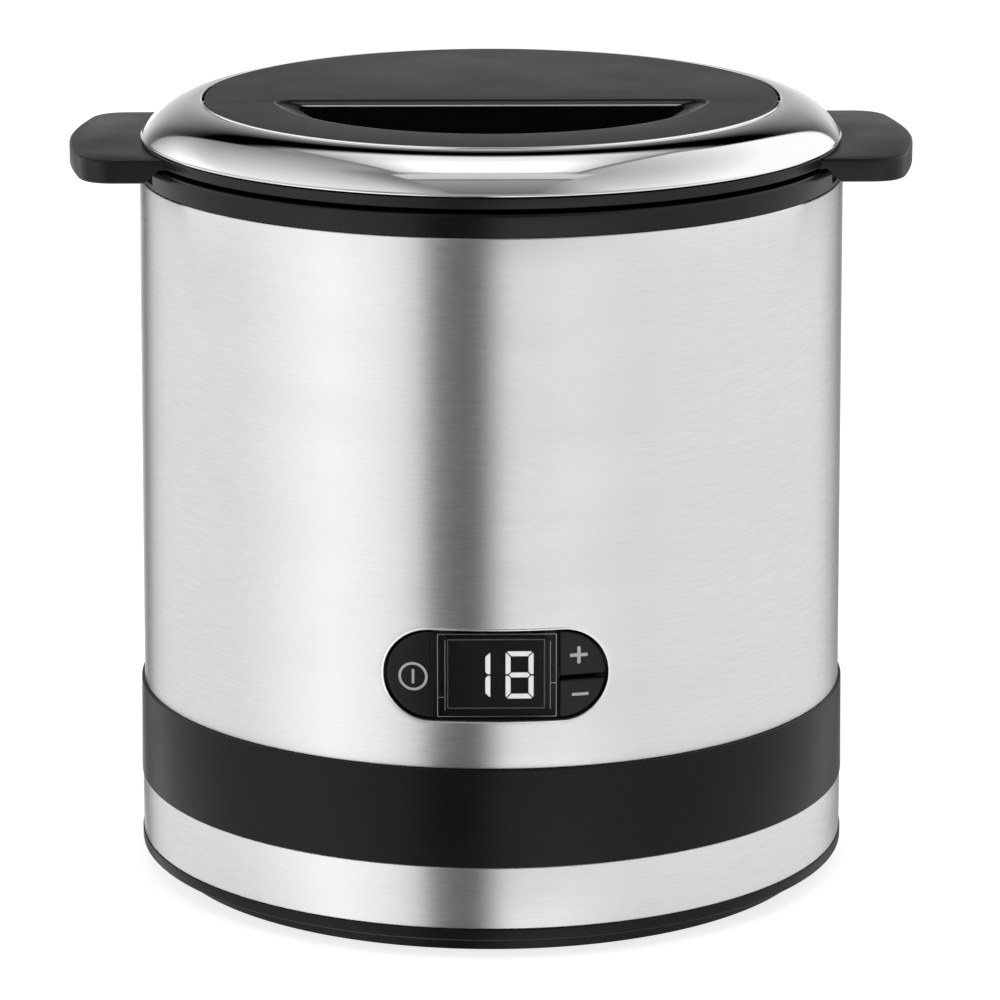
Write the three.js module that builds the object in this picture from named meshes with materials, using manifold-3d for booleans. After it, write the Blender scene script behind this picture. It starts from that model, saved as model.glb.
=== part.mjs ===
// A compact frozen-dessert maker, in millimetres, +Z up, the front towards -Y.
// The origin is on the table, under the middle of the object.
// A geared motor in the base turns a freezer bowl round a paddle that hangs still from the lid.
import * as THREE from "three";
import { mergeVertices } from "three/addons/utils/BufferGeometryUtils.js";
import Module from "manifold-3d";

// ---- Driving dimensions ------------------------------------------------------------------------

const SIDES = 36; // facets of every large round part, so that nested walls stay parallel
const GAP = 0.3; // between parts that touch on the real object
const SHEET = 0.6; // steel sheet
const WALL = 1.6; // moulded plastic wall

// Heights of the stack, from the table up.
const FOOT_RING_Z = 0.5;
const FLOOR_Z = 3.0;
const LIP_Z = 3.85;
const LOWER_STEEL_Z = 6.2;
const BAND_Z = 19.4;
const SHELL_Z = 39.9;
const RIM_Z = 149.7;
const RIM_TOP_Z = 154.45;
const SKIRT_Z = 155.3;
const CHROME_Z = 157.9;
const TOP_Z = 165.6;

// Radii of the outside.
const FOOT_RING_R = 69.9;
const FOOT_RING_INNER_R = 66.4;
const LIP_R = 75.9;
const LOWER_STEEL_R = 75.65;
const BAND_R = 75.75;
const SHELL_BOTTOM_R = 74.95;
const SHELL_TOP_R = 74.3;
const RIM_R = 74;
const SKIRT_R = 73.6;
const CHROME_R = 73.9;
const INSERT_R = 60.4;

// Chassis spigots inside the steel sheets.
const SPIGOT_OUTER_R = 73.1;
const SPIGOT_INNER_R = 71.4;
const BASE_SPIGOT_R = LOWER_STEEL_R - SHEET - 0.4;
const SPIGOT_Z = { pan: 13.7, bandLow: 14, bandHigh: 46, rim: 142 };

// Lugs, at +X and -X.
const LUG = { reach: 88.9, half: 28.8, bottom: 152.15, top: 157.2, rootX: 68.9, rootZ: 155 };
const NOTCH = { half: 22.6, z: 150.7, x: 68.6 };

// Half-moon fill opening in the lid: an arc about the axis, closed by a straight back edge.
// Its mouth slopes in to a narrower throat, which runs straight down.
const MOUTH = { arc: 46, back: -5.4, cornerX: 43, tipX: 45.2, tipY: -8.6 };
const THROAT = { arc: 41.5, back: -6.9, cornerX: 38.4, tipX: 40.4, tipY: -9.5 };
const THROAT_Z = TOP_Z - 1.4;
const CHUTE_Z = 153.4;

// Square stub under the lid, and the paddle that hangs on it.
const STUB = { half: 3.2, bottom: 139 };
const PADDLE = { reach: 47, bottom: 73.5, shoulder: 122, neck: 132, bar: 7, half: 2.5, top: 149 };

// Well and freezer bowl.
const WELL_R = 62.4;
const WELL_WALL = 1.8;
const WELL_Z = 50.5;
const WELL_FLOOR = 2;
const WELL_BOSS = { bore: 5.3, r: 8, below: 1.9, above: 1.5 };
const RIM_PLATE_Z = 147.2;
const BOWL = { outer: 60, inner: 58.2, bottom: 54.8, top: 145.4, liner: 50.5, sheet: 1.2 };
const BOWL_FLOOR_Z = 71;
const SOCKET_ROOF_Z = 63.8;
const SOCKET_R = 18.4;
const GEL_TOP_Z = 138;
const HUB_Z = 54.4;

// Gear train along +X: spindle, idler, motor.
const PRESSURE = THREE.MathUtils.degToRad(25);
const BACKLASH = 0.25;
const FINAL = { module: 1, gear: 44, pinion: 12 };
const FIRST = { module: 0.8, gear: 40, pinion: 12 };
const IDLER_X = ((FINAL.gear + FINAL.pinion) * FINAL.module) / 2;
const MOTOR_X = IDLER_X + ((FIRST.gear + FIRST.pinion) * FIRST.module) / 2;
const SPINDLE_R = 3;
const PLATE = { bottom: 34, top: 36 };
const GEARBOX_POSTS = [[-24, 20], [-24, -20], [60, 17], [60, -17]];
const POST = { r: 3, bore: 1.7, depth: 12 };
const COVER = { wide: 26.5, small: 15, top: 48.1 };
const MOTOR = { r: 16.5, bottom: 9, screw: 9 };
const SHAFT_R = 1.5;
const IDLER_PIN_R = 2;
const PINION_Z = [37, 41.3];
const WHEEL_Z = [37.2, 41];
const SMALL_GEAR_Z = [40.9, 46];
const SPINDLE_GEAR_Z = [41.8, 45.6];
const SHAFT_BOTTOM_Z = 28.5;

// Power board and the base's other fixings.
const BOARD = { x: -48.5, width: 35, depth: 44, bottom: 9.5, thick: 1.6 };
const FOOT = { r: 6, ring: 56 };
const BASE_SCREW_RING = 61;
const BASE_SCREW_ANGLES = [60, 120, 240, 300];
const BASE_SCREW_R = 1.5;
const GLAND = { r: 5, hole: 3.2, z: 30, flange: 7, inside: 69, outside: 75.7 };

// Control panel in the front of the steel shell.
const PANEL = { z: 59.7, width: 45.6, height: 19.1, face: 74.35, flange: 2.6 };
const KEYS = {
  powerRight: -12.7,
  windowLeft: -12.2,
  windowRight: 12.5,
  keyLeft: 12.85,
  plusLow: -0.3,
  minusHigh: -1.2,
};
const KEY_STEMS = { power: [-17, 0], plus: [16.4, 4.8], minus: [16.4, -4.8] };
const KEY_BACK_Y = -70.4;
const WINDOW_BACK_Y = -72.7;
const CONTROL_BOARD_Y = -65;
const CONTROL_BOARD_THICK = 1.4;
const DISPLAY = { width: 20, depth: 5.7, height: 14.8 };
const SWITCH_DEPTH = 1.7;
const KEY_STEM_Y = -69.1;

// ---- Materials ---------------------------------------------------------------------------------

const finish = (color, roughness, metalness = 0) =>
  new THREE.MeshStandardMaterial({ color, roughness, metalness });
const STEEL = finish(0xc9cacb, 0.32, 1);
const CHROME = finish(0xe8e9ea, 0.06, 1);
const BLACK = finish(0x1d1d1e, 0.45);
const MATTE_BLACK = finish(0x333334, 0.6);
const GLOSS_BLACK = finish(0x0b0b0c, 0.1);
const RUBBER = finish(0x151515, 0.9);
const CLEAR = finish(0x1a1c1e, 0.05);
const ALUMINIUM = finish(0xb9bcc0, 0.35, 1);
const BOWL_PLASTIC = finish(0xd9dcdf, 0.4);
const GEL = finish(0x6fa8d8, 0.3);
const ACETAL = finish(0xe9e6dc, 0.45);
const BRONZE = finish(0xa97b4a, 0.4, 1);
const BOARD_GREEN = finish(0x14522c, 0.5);
const ZINC = finish(0x9a9c9f, 0.4, 1);
const COPPER_RED = finish(0x9c1d1d, 0.5);
const CABLE_GREY = finish(0x8d8f92, 0.6);
const TRANSFORMER_YELLOW = finish(0xc9a227, 0.6);

// ---- Shapes ------------------------------------------------------------------------------------

const wasm = await Module();
wasm.setup();

// A closed geometry as a solid that can be joined and cut.
function solid(geometry) {
  const plain = geometry.index ? geometry.toNonIndexed() : geometry.clone();
  plain.deleteAttribute("normal");
  plain.deleteAttribute("uv");
  const merged = mergeVertices(plain, 1e-4);
  const vertProperties = merged.attributes.position.array;
  const triVerts = new Uint32Array(merged.index.array);
  return new wasm.Manifold(new wasm.Mesh({ numProp: 3, vertProperties, triVerts }));
}

function geometryOf(body) {
  const mesh = body.getMesh();
  const geometry = new THREE.BufferGeometry();
  geometry.setAttribute("position", new THREE.BufferAttribute(mesh.vertProperties, 3));
  geometry.setIndex(new THREE.BufferAttribute(mesh.triVerts, 1));
  geometry.computeVertexNormals();
  return geometry;
}

// Joins the first geometry with the added ones, then takes the removed ones away.
function carve(first, { add = [], cut = [] }) {
  const joined = add.reduce((body, piece) => body.add(solid(piece)), solid(first));
  return geometryOf(cut.reduce((body, piece) => body.subtract(solid(piece)), joined));
}

// Turns [radius, height] points about +Z. They run anticlockwise: out along the bottom, then up.
function turned(profile, sides = SIDES) {
  const ring = profile[0][0] > 0;
  const outline = ring ? [...profile, profile[0]] : profile;
  const points = outline.map(([radius, height]) => new THREE.Vector2(radius, height));
  return new THREE.LatheGeometry(points, sides).rotateX(Math.PI / 2);
}

function disc(radius, low, high, sides = 16) {
  const cylinder = new THREE.CylinderGeometry(radius, radius, high - low, sides);
  return cylinder.rotateX(Math.PI / 2).translate(0, 0, (low + high) / 2);
}

function tube(inner, outer, low, high, sides = 16) {
  return turned([[inner, low], [outer, low], [outer, high], [inner, high]], sides);
}

function block(width, depth, low, high) {
  return new THREE.BoxGeometry(width, depth, high - low).translate(0, 0, (low + high) / 2);
}

function prism(shape, low, high, curveSegments = 6) {
  const options = { depth: high - low, bevelEnabled: false, curveSegments };
  return new THREE.ExtrudeGeometry(shape, options).translate(0, 0, low);
}

// A shape drawn in X and Z, with its thickness along Y.
function frontPrism(shape, front, back, curveSegments = 5) {
  const options = { depth: back - front, bevelEnabled: false, curveSegments };
  return new THREE.ExtrudeGeometry(shape, options).rotateX(Math.PI / 2).translate(0, back, 0);
}

function polygon(points) {
  return new THREE.Shape(points.map(([x, y]) => new THREE.Vector2(x, y)));
}

function around(count, place) {
  return Array.from({ length: count }, (_, index) => place((index / count) * 2 * Math.PI, index));
}

function lead(points, radius, steps, sides = 8) {
  const path = new THREE.CatmullRomCurve3(points.map((point) => new THREE.Vector3(...point)));
  const ends = around(sides, (turn) => [radius * Math.cos(turn), radius * Math.sin(turn)]);
  return new THREE.ExtrudeGeometry(polygon(ends), { steps, extrudePath: path });
}

function piece(name, geometry, material, position = [0, 0, 0]) {
  const mesh = new THREE.Mesh(geometry, material);
  mesh.name = name;
  mesh.position.set(...position);
  return mesh;
}

function group(children, position = [0, 0, 0]) {
  const made = new THREE.Group();
  made.position.set(...position);
  made.add(...children);
  return made;
}

function screw(name, headRadius, headLow, headHigh, shankRadius, tip, position) {
  const upwards = tip > headHigh;
  const shank = upwards ? [headHigh - 0.1, tip] : [tip, headLow + 0.1];
  const body = carve(disc(headRadius, headLow, headHigh, 12), { add: [disc(shankRadius, ...shank, 8)] });
  return piece(name, body, ZINC, position);
}

// Teeth with the thickness of an involute at root and tip. Tooth 0 is centred on the given turn.
function gearShape({ module, teeth, turn = 0 }) {
  const pitch = (teeth * module) / 2;
  const base = pitch * Math.cos(PRESSURE);
  const involute = (angle) => Math.tan(angle) - angle;
  const half = (radius) =>
    Math.PI / (2 * teeth) - BACKLASH / (2 * pitch) + involute(PRESSURE) -
    involute(Math.acos(Math.min(1, base / radius)));
  const flank = [pitch - 1.05 * module, pitch + 0.8 * module];
  const at = (radius, angle) => [radius * Math.cos(angle), radius * Math.sin(angle)];
  const tooth = (centre) => [
    ...flank.map((radius) => at(radius, centre - half(radius))),
    ...flank.toReversed().map((radius) => at(radius, centre + half(radius))),
  ];
  return polygon(around(teeth, (angle) => tooth(angle + turn)).flat());
}

// ---- Housing -----------------------------------------------------------------------------------

const screwPlaces = BASE_SCREW_ANGLES.map((degrees) => {
  const angle = THREE.MathUtils.degToRad(degrees);
  return [BASE_SCREW_RING * Math.cos(angle), BASE_SCREW_RING * Math.sin(angle), angle];
});

const footPlaces = around(4, (turn) => {
  const angle = turn + Math.PI / 4;
  return [FOOT.ring * Math.cos(angle), FOOT.ring * Math.sin(angle)];
});

// Floor, foot ring, lip, and the spigot inside the lower steel band.
function basePan() {
  const floorTop = FLOOR_Z + 2.2;
  const pan = turned([
    [0, FLOOR_Z],
    [FOOT_RING_INNER_R, FLOOR_Z],
    [FOOT_RING_INNER_R, FOOT_RING_Z],
    [FOOT_RING_R, FOOT_RING_Z],
    [FOOT_RING_R, LIP_Z],
    [LIP_R, LIP_Z],
    [LIP_R, LOWER_STEEL_Z],
    [BASE_SPIGOT_R, LOWER_STEEL_Z],
    [BASE_SPIGOT_R, SPIGOT_Z.pan],
    [BASE_SPIGOT_R - 2, SPIGOT_Z.pan],
    [BASE_SPIGOT_R - 2, floorTop],
    [0, floorTop],
  ]);
  const posts = GEARBOX_POSTS.map(([x, y]) =>
    disc(POST.r, floorTop - 0.4, PLATE.bottom - GAP, 12).translate(x, y, 0));
  const postBores = GEARBOX_POSTS.map(([x, y]) =>
    disc(POST.bore, PLATE.bottom - POST.depth, PLATE.bottom, 8).translate(x, y, 0));
  const standoffs = [[-14, -18], [14, -18], [14, 18], [-14, 18]].map(([x, y]) =>
    disc(2.5, floorTop - 0.4, BOARD.bottom - GAP, 8).translate(BOARD.x + x, y, 0));
  const screwHoles = screwPlaces.map(([x, y]) =>
    disc(BASE_SCREW_R + 0.4, FLOOR_Z - 1, floorTop + 1, 12).translate(x, y, 0));
  const body = carve(pan, { add: [...posts, ...standoffs], cut: [...postBores, ...screwHoles] });
  return piece("base_pan", body, BLACK);
}

function rubberFeet() {
  return footPlaces.map(([x, y], index) => {
    const foot = turned([[0, 0], [FOOT.r - 0.8, 0], [FOOT.r, FLOOR_Z - GAP], [0, FLOOR_Z - GAP]], 16);
    return piece(`rubber_foot_${index + 1}`, foot, RUBBER, [x, y, 0]);
  });
}

function baseScrews() {
  return screwPlaces.map(([x, y], index) =>
    screw(`base_screw_${index + 1}`, 3, 1.5, FLOOR_Z - GAP, BASE_SCREW_R, 20, [x, y, 0]));
}

function lowerSteelBand() {
  const [low, high] = [LOWER_STEEL_Z + GAP, BAND_Z];
  return piece("lower_steel_band", tube(LOWER_STEEL_R - SHEET, LOWER_STEEL_R, low, high, SIDES), STEEL);
}

// Chassis ring between the two steel sheets, with spigots inside both and a webbed boss for each screw.
function blackBand() {
  const low = BAND_Z + GAP;
  const ring = turned([
    [SPIGOT_INNER_R, SPIGOT_Z.bandLow],
    [BASE_SPIGOT_R, SPIGOT_Z.bandLow],
    [BASE_SPIGOT_R, low],
    [BAND_R, low],
    [BAND_R, SHELL_Z],
    [SPIGOT_OUTER_R, SHELL_Z],
    [SPIGOT_OUTER_R, SPIGOT_Z.bandHigh],
    [SPIGOT_INNER_R, SPIGOT_Z.bandHigh],
  ]);
  const bosses = screwPlaces.flatMap(([x, y, angle]) => [
    disc(3.5, 5.6, 26, 12).translate(x, y, 0),
    block(12, 2, 14.5, 26).translate(BASE_SCREW_RING + 5.2, 0, 0).rotateZ(angle),
  ]);
  const bores = screwPlaces.map(([x, y]) => disc(BASE_SCREW_R + 0.3, 5, 22, 8).translate(x, y, 0));
  const glandHole = disc(GLAND.r + GAP, 66, 80, 16).rotateX(-Math.PI / 2).translate(0, 0, GLAND.z);
  return piece("black_band", carve(ring, { add: bosses, cut: [...bores, glandHole] }), BLACK);
}

// Rubber bush for the mains cord, flush with the back of the black band.
function cordGland() {
  const bush = turned([
    [GLAND.hole, GLAND.inside],
    [GLAND.flange, GLAND.inside],
    [GLAND.flange, GLAND.inside + 1.4],
    [GLAND.r, GLAND.inside + 1.4],
    [GLAND.r, GLAND.outside],
    [GLAND.hole, GLAND.outside],
  ], 16);
  return piece("cord_gland", bush.rotateX(-Math.PI / 2), RUBBER, [0, 0, GLAND.z]);
}

function stadium(width, height) {
  const end = width / 2 - height / 2;
  const shape = new THREE.Shape();
  shape.absarc(end, PANEL.z, height / 2, -Math.PI / 2, Math.PI / 2);
  shape.absarc(-end, PANEL.z, height / 2, Math.PI / 2, (3 * Math.PI) / 2);
  return shape;
}

function upperSteelShell() {
  const [low, high] = [SHELL_Z + GAP, RIM_Z - GAP];
  const shell = turned([
    [SHELL_BOTTOM_R - SHEET, low],
    [SHELL_BOTTOM_R, low],
    [SHELL_TOP_R, high],
    [SHELL_TOP_R - SHEET, high],
  ]);
  const cutOut = frontPrism(stadium(PANEL.width, PANEL.height), -90, -50, 10);
  return piece("upper_steel_shell", carve(shell, { cut: [cutOut] }), STEEL);
}

// Well for the bowl, with its floor and spindle boss, and the rim that the lid stands on.
function innerHousing() {
  const outer = WELL_R + WELL_WALL;
  const floorTop = WELL_Z + WELL_FLOOR;
  const body = turned([
    [WELL_BOSS.bore, WELL_Z - WELL_BOSS.below],
    [WELL_BOSS.r, WELL_Z - WELL_BOSS.below],
    [WELL_BOSS.r, WELL_Z],
    [outer, WELL_Z],
    [outer, RIM_PLATE_Z],
    [SPIGOT_INNER_R, RIM_PLATE_Z],
    [SPIGOT_INNER_R, SPIGOT_Z.rim],
    [SPIGOT_OUTER_R, SPIGOT_Z.rim],
    [SPIGOT_OUTER_R, RIM_Z],
    [RIM_R, RIM_Z],
    [RIM_R, RIM_TOP_Z],
    [outer, RIM_TOP_Z],
    [WELL_R, RIM_TOP_Z - 2],
    [WELL_R, floorTop],
    [WELL_BOSS.r, floorTop],
    [WELL_BOSS.r, floorTop + WELL_BOSS.above],
    [WELL_BOSS.bore, floorTop + WELL_BOSS.above],
  ]);
  const notches = [-1, 1].map((side) =>
    block(20, 2 * NOTCH.half, NOTCH.z, 160).translate(side * (NOTCH.x + 10), 0, 0));
  return piece("inner_housing", carve(body, { cut: notches }), BLACK);
}

// ---- Drive -------------------------------------------------------------------------------------

function gearboxPlate() {
  const outline = polygon([
    [-30, -22], [-26, -26], [30, -26], [62, -21], [66, -17],
    [66, 17], [62, 21], [30, 26], [-26, 26], [-30, 22],
  ]);
  const holes = [
    disc(5.8, 30, 40),
    disc(IDLER_PIN_R + 0.4, 30, 40, 12).translate(IDLER_X, 0, 0),
    disc(2 * SHAFT_R, 30, 40, 12).translate(MOTOR_X, 0, 0),
    ...GEARBOX_POSTS.map(([x, y]) => disc(POST.bore + 0.1, 30, 40, 8).translate(x, y, 0)),
    ...[-MOTOR.screw, MOTOR.screw].map((y) => disc(1.6, 30, 40, 8).translate(MOTOR_X, y, 0)),
  ];
  return piece("gearbox_plate", carve(prism(outline, PLATE.bottom, PLATE.top), { cut: holes }), ZINC);
}

// The outline round two circles on the X axis, a wide one on the spindle and a small one on the motor.
function trainOutline(wide, small) {
  const tangent = Math.acos((wide - small) / MOTOR_X);
  const shape = new THREE.Shape();
  shape.absarc(0, 0, wide, tangent, 2 * Math.PI - tangent);
  shape.absarc(MOTOR_X, 0, small, -tangent, tangent);
  return shape;
}

function gearboxCover() {
  const [low, high] = [PLATE.top + GAP, COVER.top];
  const hollow = prism(trainOutline(COVER.wide - WALL, COVER.small - WALL), low - 1, high - 1.5, 8);
  const cover = prism(trainOutline(COVER.wide, COVER.small), low, high, 8);
  return piece("gearbox_cover", carve(cover, { cut: [hollow, disc(5, 40, 60, 16)] }), MATTE_BLACK);
}

function gearboxScrews() {
  const head = PLATE.top + GAP;
  return GEARBOX_POSTS.map(([x, y], index) =>
    screw(`gearbox_screw_${index + 1}`, 2.8, head, head + 1.8, 1.4, 24, [x, y, 0]));
}

function motor() {
  const [low, high] = [MOTOR.bottom, PLATE.bottom - GAP];
  const can = turned([
    [0, low],
    [MOTOR.r - 1.2, low],
    [MOTOR.r, low + 1.2],
    [MOTOR.r, high],
    [SHAFT_R + 0.5, high],
    [SHAFT_R + 0.5, SHAFT_BOTTOM_Z - 0.5],
    [0, SHAFT_BOTTOM_Z - 0.5],
  ], 20);
  const screwLine = [-MOTOR.screw, MOTOR.screw];
  const bores = screwLine.map((y) => disc(1.5, 29, 40, 8).translate(0, y, 0));
  const head = PLATE.top + GAP;
  const screws = screwLine.map((y, index) =>
    screw(`motor_screw_${index + 1}`, 2.2, head, head + 1.5, 1.2, 30.5, [0, y, 0]));
  return group([piece("motor_can", carve(can, { cut: bores }), ZINC), ...screws], [MOTOR_X, 0, 0]);
}

function rotor() {
  const shape = gearShape({ module: FIRST.module, teeth: FIRST.pinion, turn: Math.PI / FIRST.pinion });
  const pinion = carve(prism(shape, ...PINION_Z), { cut: [disc(SHAFT_R + GAP, 30, 50, 12)] });
  return group([
    piece("motor_shaft", disc(SHAFT_R, SHAFT_BOTTOM_Z, PINION_Z[1] + GAP, 12), ZINC),
    piece("motor_pinion", pinion, BRONZE),
  ], [MOTOR_X, 0, 0]);
}

// Compound gear: the large wheel is driven by the motor pinion, the small one drives the spindle gear.
function idler() {
  const wheel = prism(gearShape({ module: FIRST.module, teeth: FIRST.gear }), ...WHEEL_Z);
  const small = gearShape({ module: FINAL.module, teeth: FINAL.pinion, turn: Math.PI / FINAL.pinion });
  const bore = disc(IDLER_PIN_R + GAP, 30, 50, 12);
  const gear = carve(wheel, { add: [prism(small, ...SMALL_GEAR_Z)], cut: [bore] });
  return group([
    piece("idler_gear", gear, ACETAL),
    piece("idler_pin", disc(IDLER_PIN_R, PLATE.bottom - 1, SMALL_GEAR_Z[1] + GAP, 12), ZINC),
  ], [IDLER_X, 0, 0]);
}

// Six dogs on the drive hub, and the same outline a little larger for the bowl's socket.
function lobes(grow) {
  const [crest, valley] = [15 + grow, 12.2 + grow];
  const at = (radius, angle) => [radius * Math.cos(angle), radius * Math.sin(angle)];
  const [top, root] = [11 + 3 * grow, 17 + 3 * grow].map(THREE.MathUtils.degToRad);
  return polygon(around(6, (angle) => [
    at(valley, angle - root),
    at(crest, angle - top),
    at(crest, angle),
    at(crest, angle + top),
    at(valley, angle + root),
  ]).flat());
}

function spindle() {
  const top = SOCKET_ROOF_Z - 1.8;
  const wheel = prism(gearShape({ module: FINAL.module, teeth: FINAL.gear }), ...SPINDLE_GEAR_Z);
  const gear = carve(wheel, {
    add: [disc(7, 37.8, 46.2)],
    cut: [disc(SPINDLE_R + GAP, 30, 50)],
  });
  const hubBore = disc(SPINDLE_R + GAP, 50, top + GAP);
  const hub = carve(prism(lobes(0), HUB_Z, SOCKET_ROOF_Z - GAP), { cut: [hubBore] });
  return group([
    piece("spindle", disc(SPINDLE_R, SHAFT_BOTTOM_Z, top), ZINC),
    piece("spindle_gear", gear, ACETAL),
    piece("spindle_clip", tube(SPINDLE_R + GAP, 6, 29.6, 30.8, 16), ZINC),
    piece("drive_hub", hub, MATTE_BLACK),
  ]);
}

function bushes() {
  const bore = SPINDLE_R + 0.3;
  const flanged = turned([[bore, 31.6], [5.4, 31.6], [5.4, 36.3], [8, 36.3], [8, 37.3], [bore, 37.3]], 16);
  return [
    piece("lower_bush", flanged, BRONZE),
    piece("upper_bush", tube(bore, 5, WELL_Z - 1.6, WELL_Z + 3.2), BRONZE),
  ];
}

// ---- Electronics -------------------------------------------------------------------------------

function powerBoard() {
  const top = BOARD.thick + GAP;
  return group([
    piece("power_board", block(BOARD.width, BOARD.depth, 0, BOARD.thick), BOARD_GREEN),
    piece("transformer", block(22, 20, top, top + 19), TRANSFORMER_YELLOW, [-4, 10, 0]),
    piece("capacitor", disc(5, top, top + 14, 16), GLOSS_BLACK, [-8, -12, 0]),
    piece("terminal_block", block(7, 16, top, top + 8), BOARD_GREEN, [11, -10, 0]),
  ], [BOARD.x, 0, BOARD.bottom]);
}

function motorLeads() {
  const start = MOTOR_X - 12;
  return [-1, 1].map((side, index) => {
    const y = -10 + 3 * side;
    const route = [
      [start, 4 * side - 4, 8], [start - 6, 4 * side - 5, 7.2], [10, y, 7.2],
      [-20, y, 7.4], [-27, y, 9.5], [-31, y, 14], [-33.2, y, 15.5],
    ];
    return piece(`motor_lead_${index + 1}`, lead(route, 0.8, 9), index ? COPPER_RED : GLOSS_BLACK);
  });
}

function ribbonLead() {
  const route = [
    [-10, -65.7, 48.4], [-10, -65, 42], [-14, -58, 32],
    [-26, -42, 22], [-36, -26, 17], [-40, -19.6, 15.4],
  ];
  return piece("ribbon_lead", lead(route, 1.6, 9), CABLE_GREY);
}

// ---- Control panel -----------------------------------------------------------------------------

// The part of the stadium between two X limits and two Z limits, drawn in X and Z.
function panelField(left, right, low, high, inset) {
  const outline = frontPrism(stadium(PANEL.width - 2 * inset, PANEL.height - 2 * inset), -90, -50, 10);
  const window = block(right - left, 60, low, high).translate((left + right) / 2, -70, PANEL.z);
  return solid(outline).intersect(solid(window));
}

// Trims a field of the panel to its curved front face and to a flat back.
function fitted(field, frontRadius, back) {
  const slab = block(80, 60, 30, 90).translate(0, back - 30, 0);
  return field.intersect(solid(disc(frontRadius, 30, 90, 96))).intersect(solid(slab));
}

function key(name, left, right, low, high, stem) {
  const cap = fitted(panelField(left, right, low, high, 0.25), PANEL.face, KEY_BACK_Y);
  const rod = disc(1.5, -KEY_STEM_Y, 71.5, 10).rotateX(Math.PI / 2);
  const placed = solid(rod.translate(stem[0], 0, PANEL.z + stem[1]));
  return piece(name, geometryOf(cap.add(placed)), GLOSS_BLACK);
}

function keys() {
  const half = PANEL.height / 2;
  return [
    key("power_button", -half * 3, KEYS.powerRight, -half, half, KEY_STEMS.power),
    key("plus_button", KEYS.keyLeft, half * 3, KEYS.plusLow, half, KEY_STEMS.plus),
    key("minus_button", KEYS.keyLeft, half * 3, -half, KEYS.minusHigh, KEY_STEMS.minus),
  ];
}

function displayWindow() {
  const half = PANEL.height / 2;
  const field = panelField(KEYS.windowLeft, KEYS.windowRight, -half, half, 0.25);
  return piece("display_window", geometryOf(fitted(field, PANEL.face, WINDOW_BACK_Y)), CLEAR);
}

// Carrier behind the cut-out, with a wall between the fields and a flange inside the steel.
function panelFrame() {
  const back = -68.9;
  const [width, height] = [PANEL.width + 2 * PANEL.flange, PANEL.height + 2 * PANEL.flange];
  const flange = frontPrism(stadium(width, height), -90, back, 8);
  const curved = solid(flange).intersect(solid(disc(SPIGOT_OUTER_R, 30, 90, 96)));
  const half = PANEL.height / 2;
  const field = (left, right, low, high) => panelField(left, right, low, high, 0);
  const cleared = [
    field(-half * 3, KEYS.powerRight + 0.1, -half, half),
    field(KEYS.windowLeft - 0.1, KEYS.windowRight + 0.1, -half, half),
    field(KEYS.keyLeft - 0.1, half * 3, -half, half),
  ].reduce((body, opening) => body.subtract(opening), curved);
  return piece("panel_frame", geometryOf(cleared), MATTE_BLACK);
}

function controlBoard() {
  const boardFront = CONTROL_BOARD_Y - CONTROL_BOARD_THICK;
  const switches = Object.entries(KEY_STEMS).map(([name, [x, z]]) => {
    const body = new THREE.BoxGeometry(4.6, SWITCH_DEPTH, 4.6);
    return piece(`${name}_switch`, body, ZINC, [x, boardFront - GAP - SWITCH_DEPTH / 2, z]);
  });
  const module = new THREE.BoxGeometry(DISPLAY.width, DISPLAY.depth, DISPLAY.height);
  const board = new THREE.BoxGeometry(48, CONTROL_BOARD_THICK, 22);
  return group([
    piece("control_board", board, BOARD_GREEN, [0, boardFront + CONTROL_BOARD_THICK / 2, 0]),
    piece("display_module", module, GLOSS_BLACK, [0, boardFront - GAP - DISPLAY.depth / 2, 0]),
    ...switches,
  ], [0, 0, PANEL.z]);
}

// ---- Lid and paddle ----------------------------------------------------------------------------

function halfMoon(moon, grow = 0) {
  const back = moon.back + grow;
  const radius = moon.arc + grow;
  const tip = Math.atan2(moon.tipY, moon.tipX);
  const [tipX, tipY] = [radius * Math.cos(tip), radius * Math.sin(tip)];
  const shape = new THREE.Shape();
  shape.moveTo(-moon.cornerX, back);
  shape.quadraticCurveTo(-tipX, back, -tipX, tipY);
  shape.absarc(0, 0, radius, Math.PI - tip, 2 * Math.PI + tip);
  shape.quadraticCurveTo(tipX, back, moon.cornerX, back);
  return shape;
}

// A closed body between two outlines with the same number of points, the lower one first.
function funnel(lower, upper, low, high, curveSegments = 8) {
  const apart = (point, index, all) => index === 0 || point.distanceTo(all[index - 1]) > 1e-6;
  const rings = [lower, upper].map((shape) => shape.getPoints(curveSegments).filter(apart));
  const count = rings[0].length;
  const points = rings.flatMap((ring, level) => ring.map(({ x, y }) => [x, y, level ? high : low]));
  const lid = THREE.ShapeUtils.triangulateShape(rings[1], []);
  const sides = rings[0].flatMap((_, index) => {
    const next = (index + 1) % count;
    return [index, next, next + count, index, next + count, index + count];
  });
  const caps = lid.flatMap(([a, b, c]) => [a + count, b + count, c + count, c, b, a]);
  const geometry = new THREE.BufferGeometry();
  geometry.setAttribute("position", new THREE.Float32BufferAttribute(points.flat(), 3));
  return geometry.setIndex([...sides, ...caps]);
}

function lugShape(side) {
  const { reach, half } = LUG;
  const shoulder = [reach - 2.9, 22];
  const shape = new THREE.Shape();
  shape.moveTo(side * 60, -half);
  shape.lineTo(side * 78, -half);
  shape.quadraticCurveTo(side * (reach - 4.4), -half, side * shoulder[0], -shoulder[1]);
  shape.quadraticCurveTo(side * reach, -9, side * reach, 0);
  shape.quadraticCurveTo(side * reach, 9, side * shoulder[0], shoulder[1]);
  shape.quadraticCurveTo(side * (reach - 4.4), half, side * 78, half);
  shape.lineTo(side * 60, half);
  return shape;
}

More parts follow.
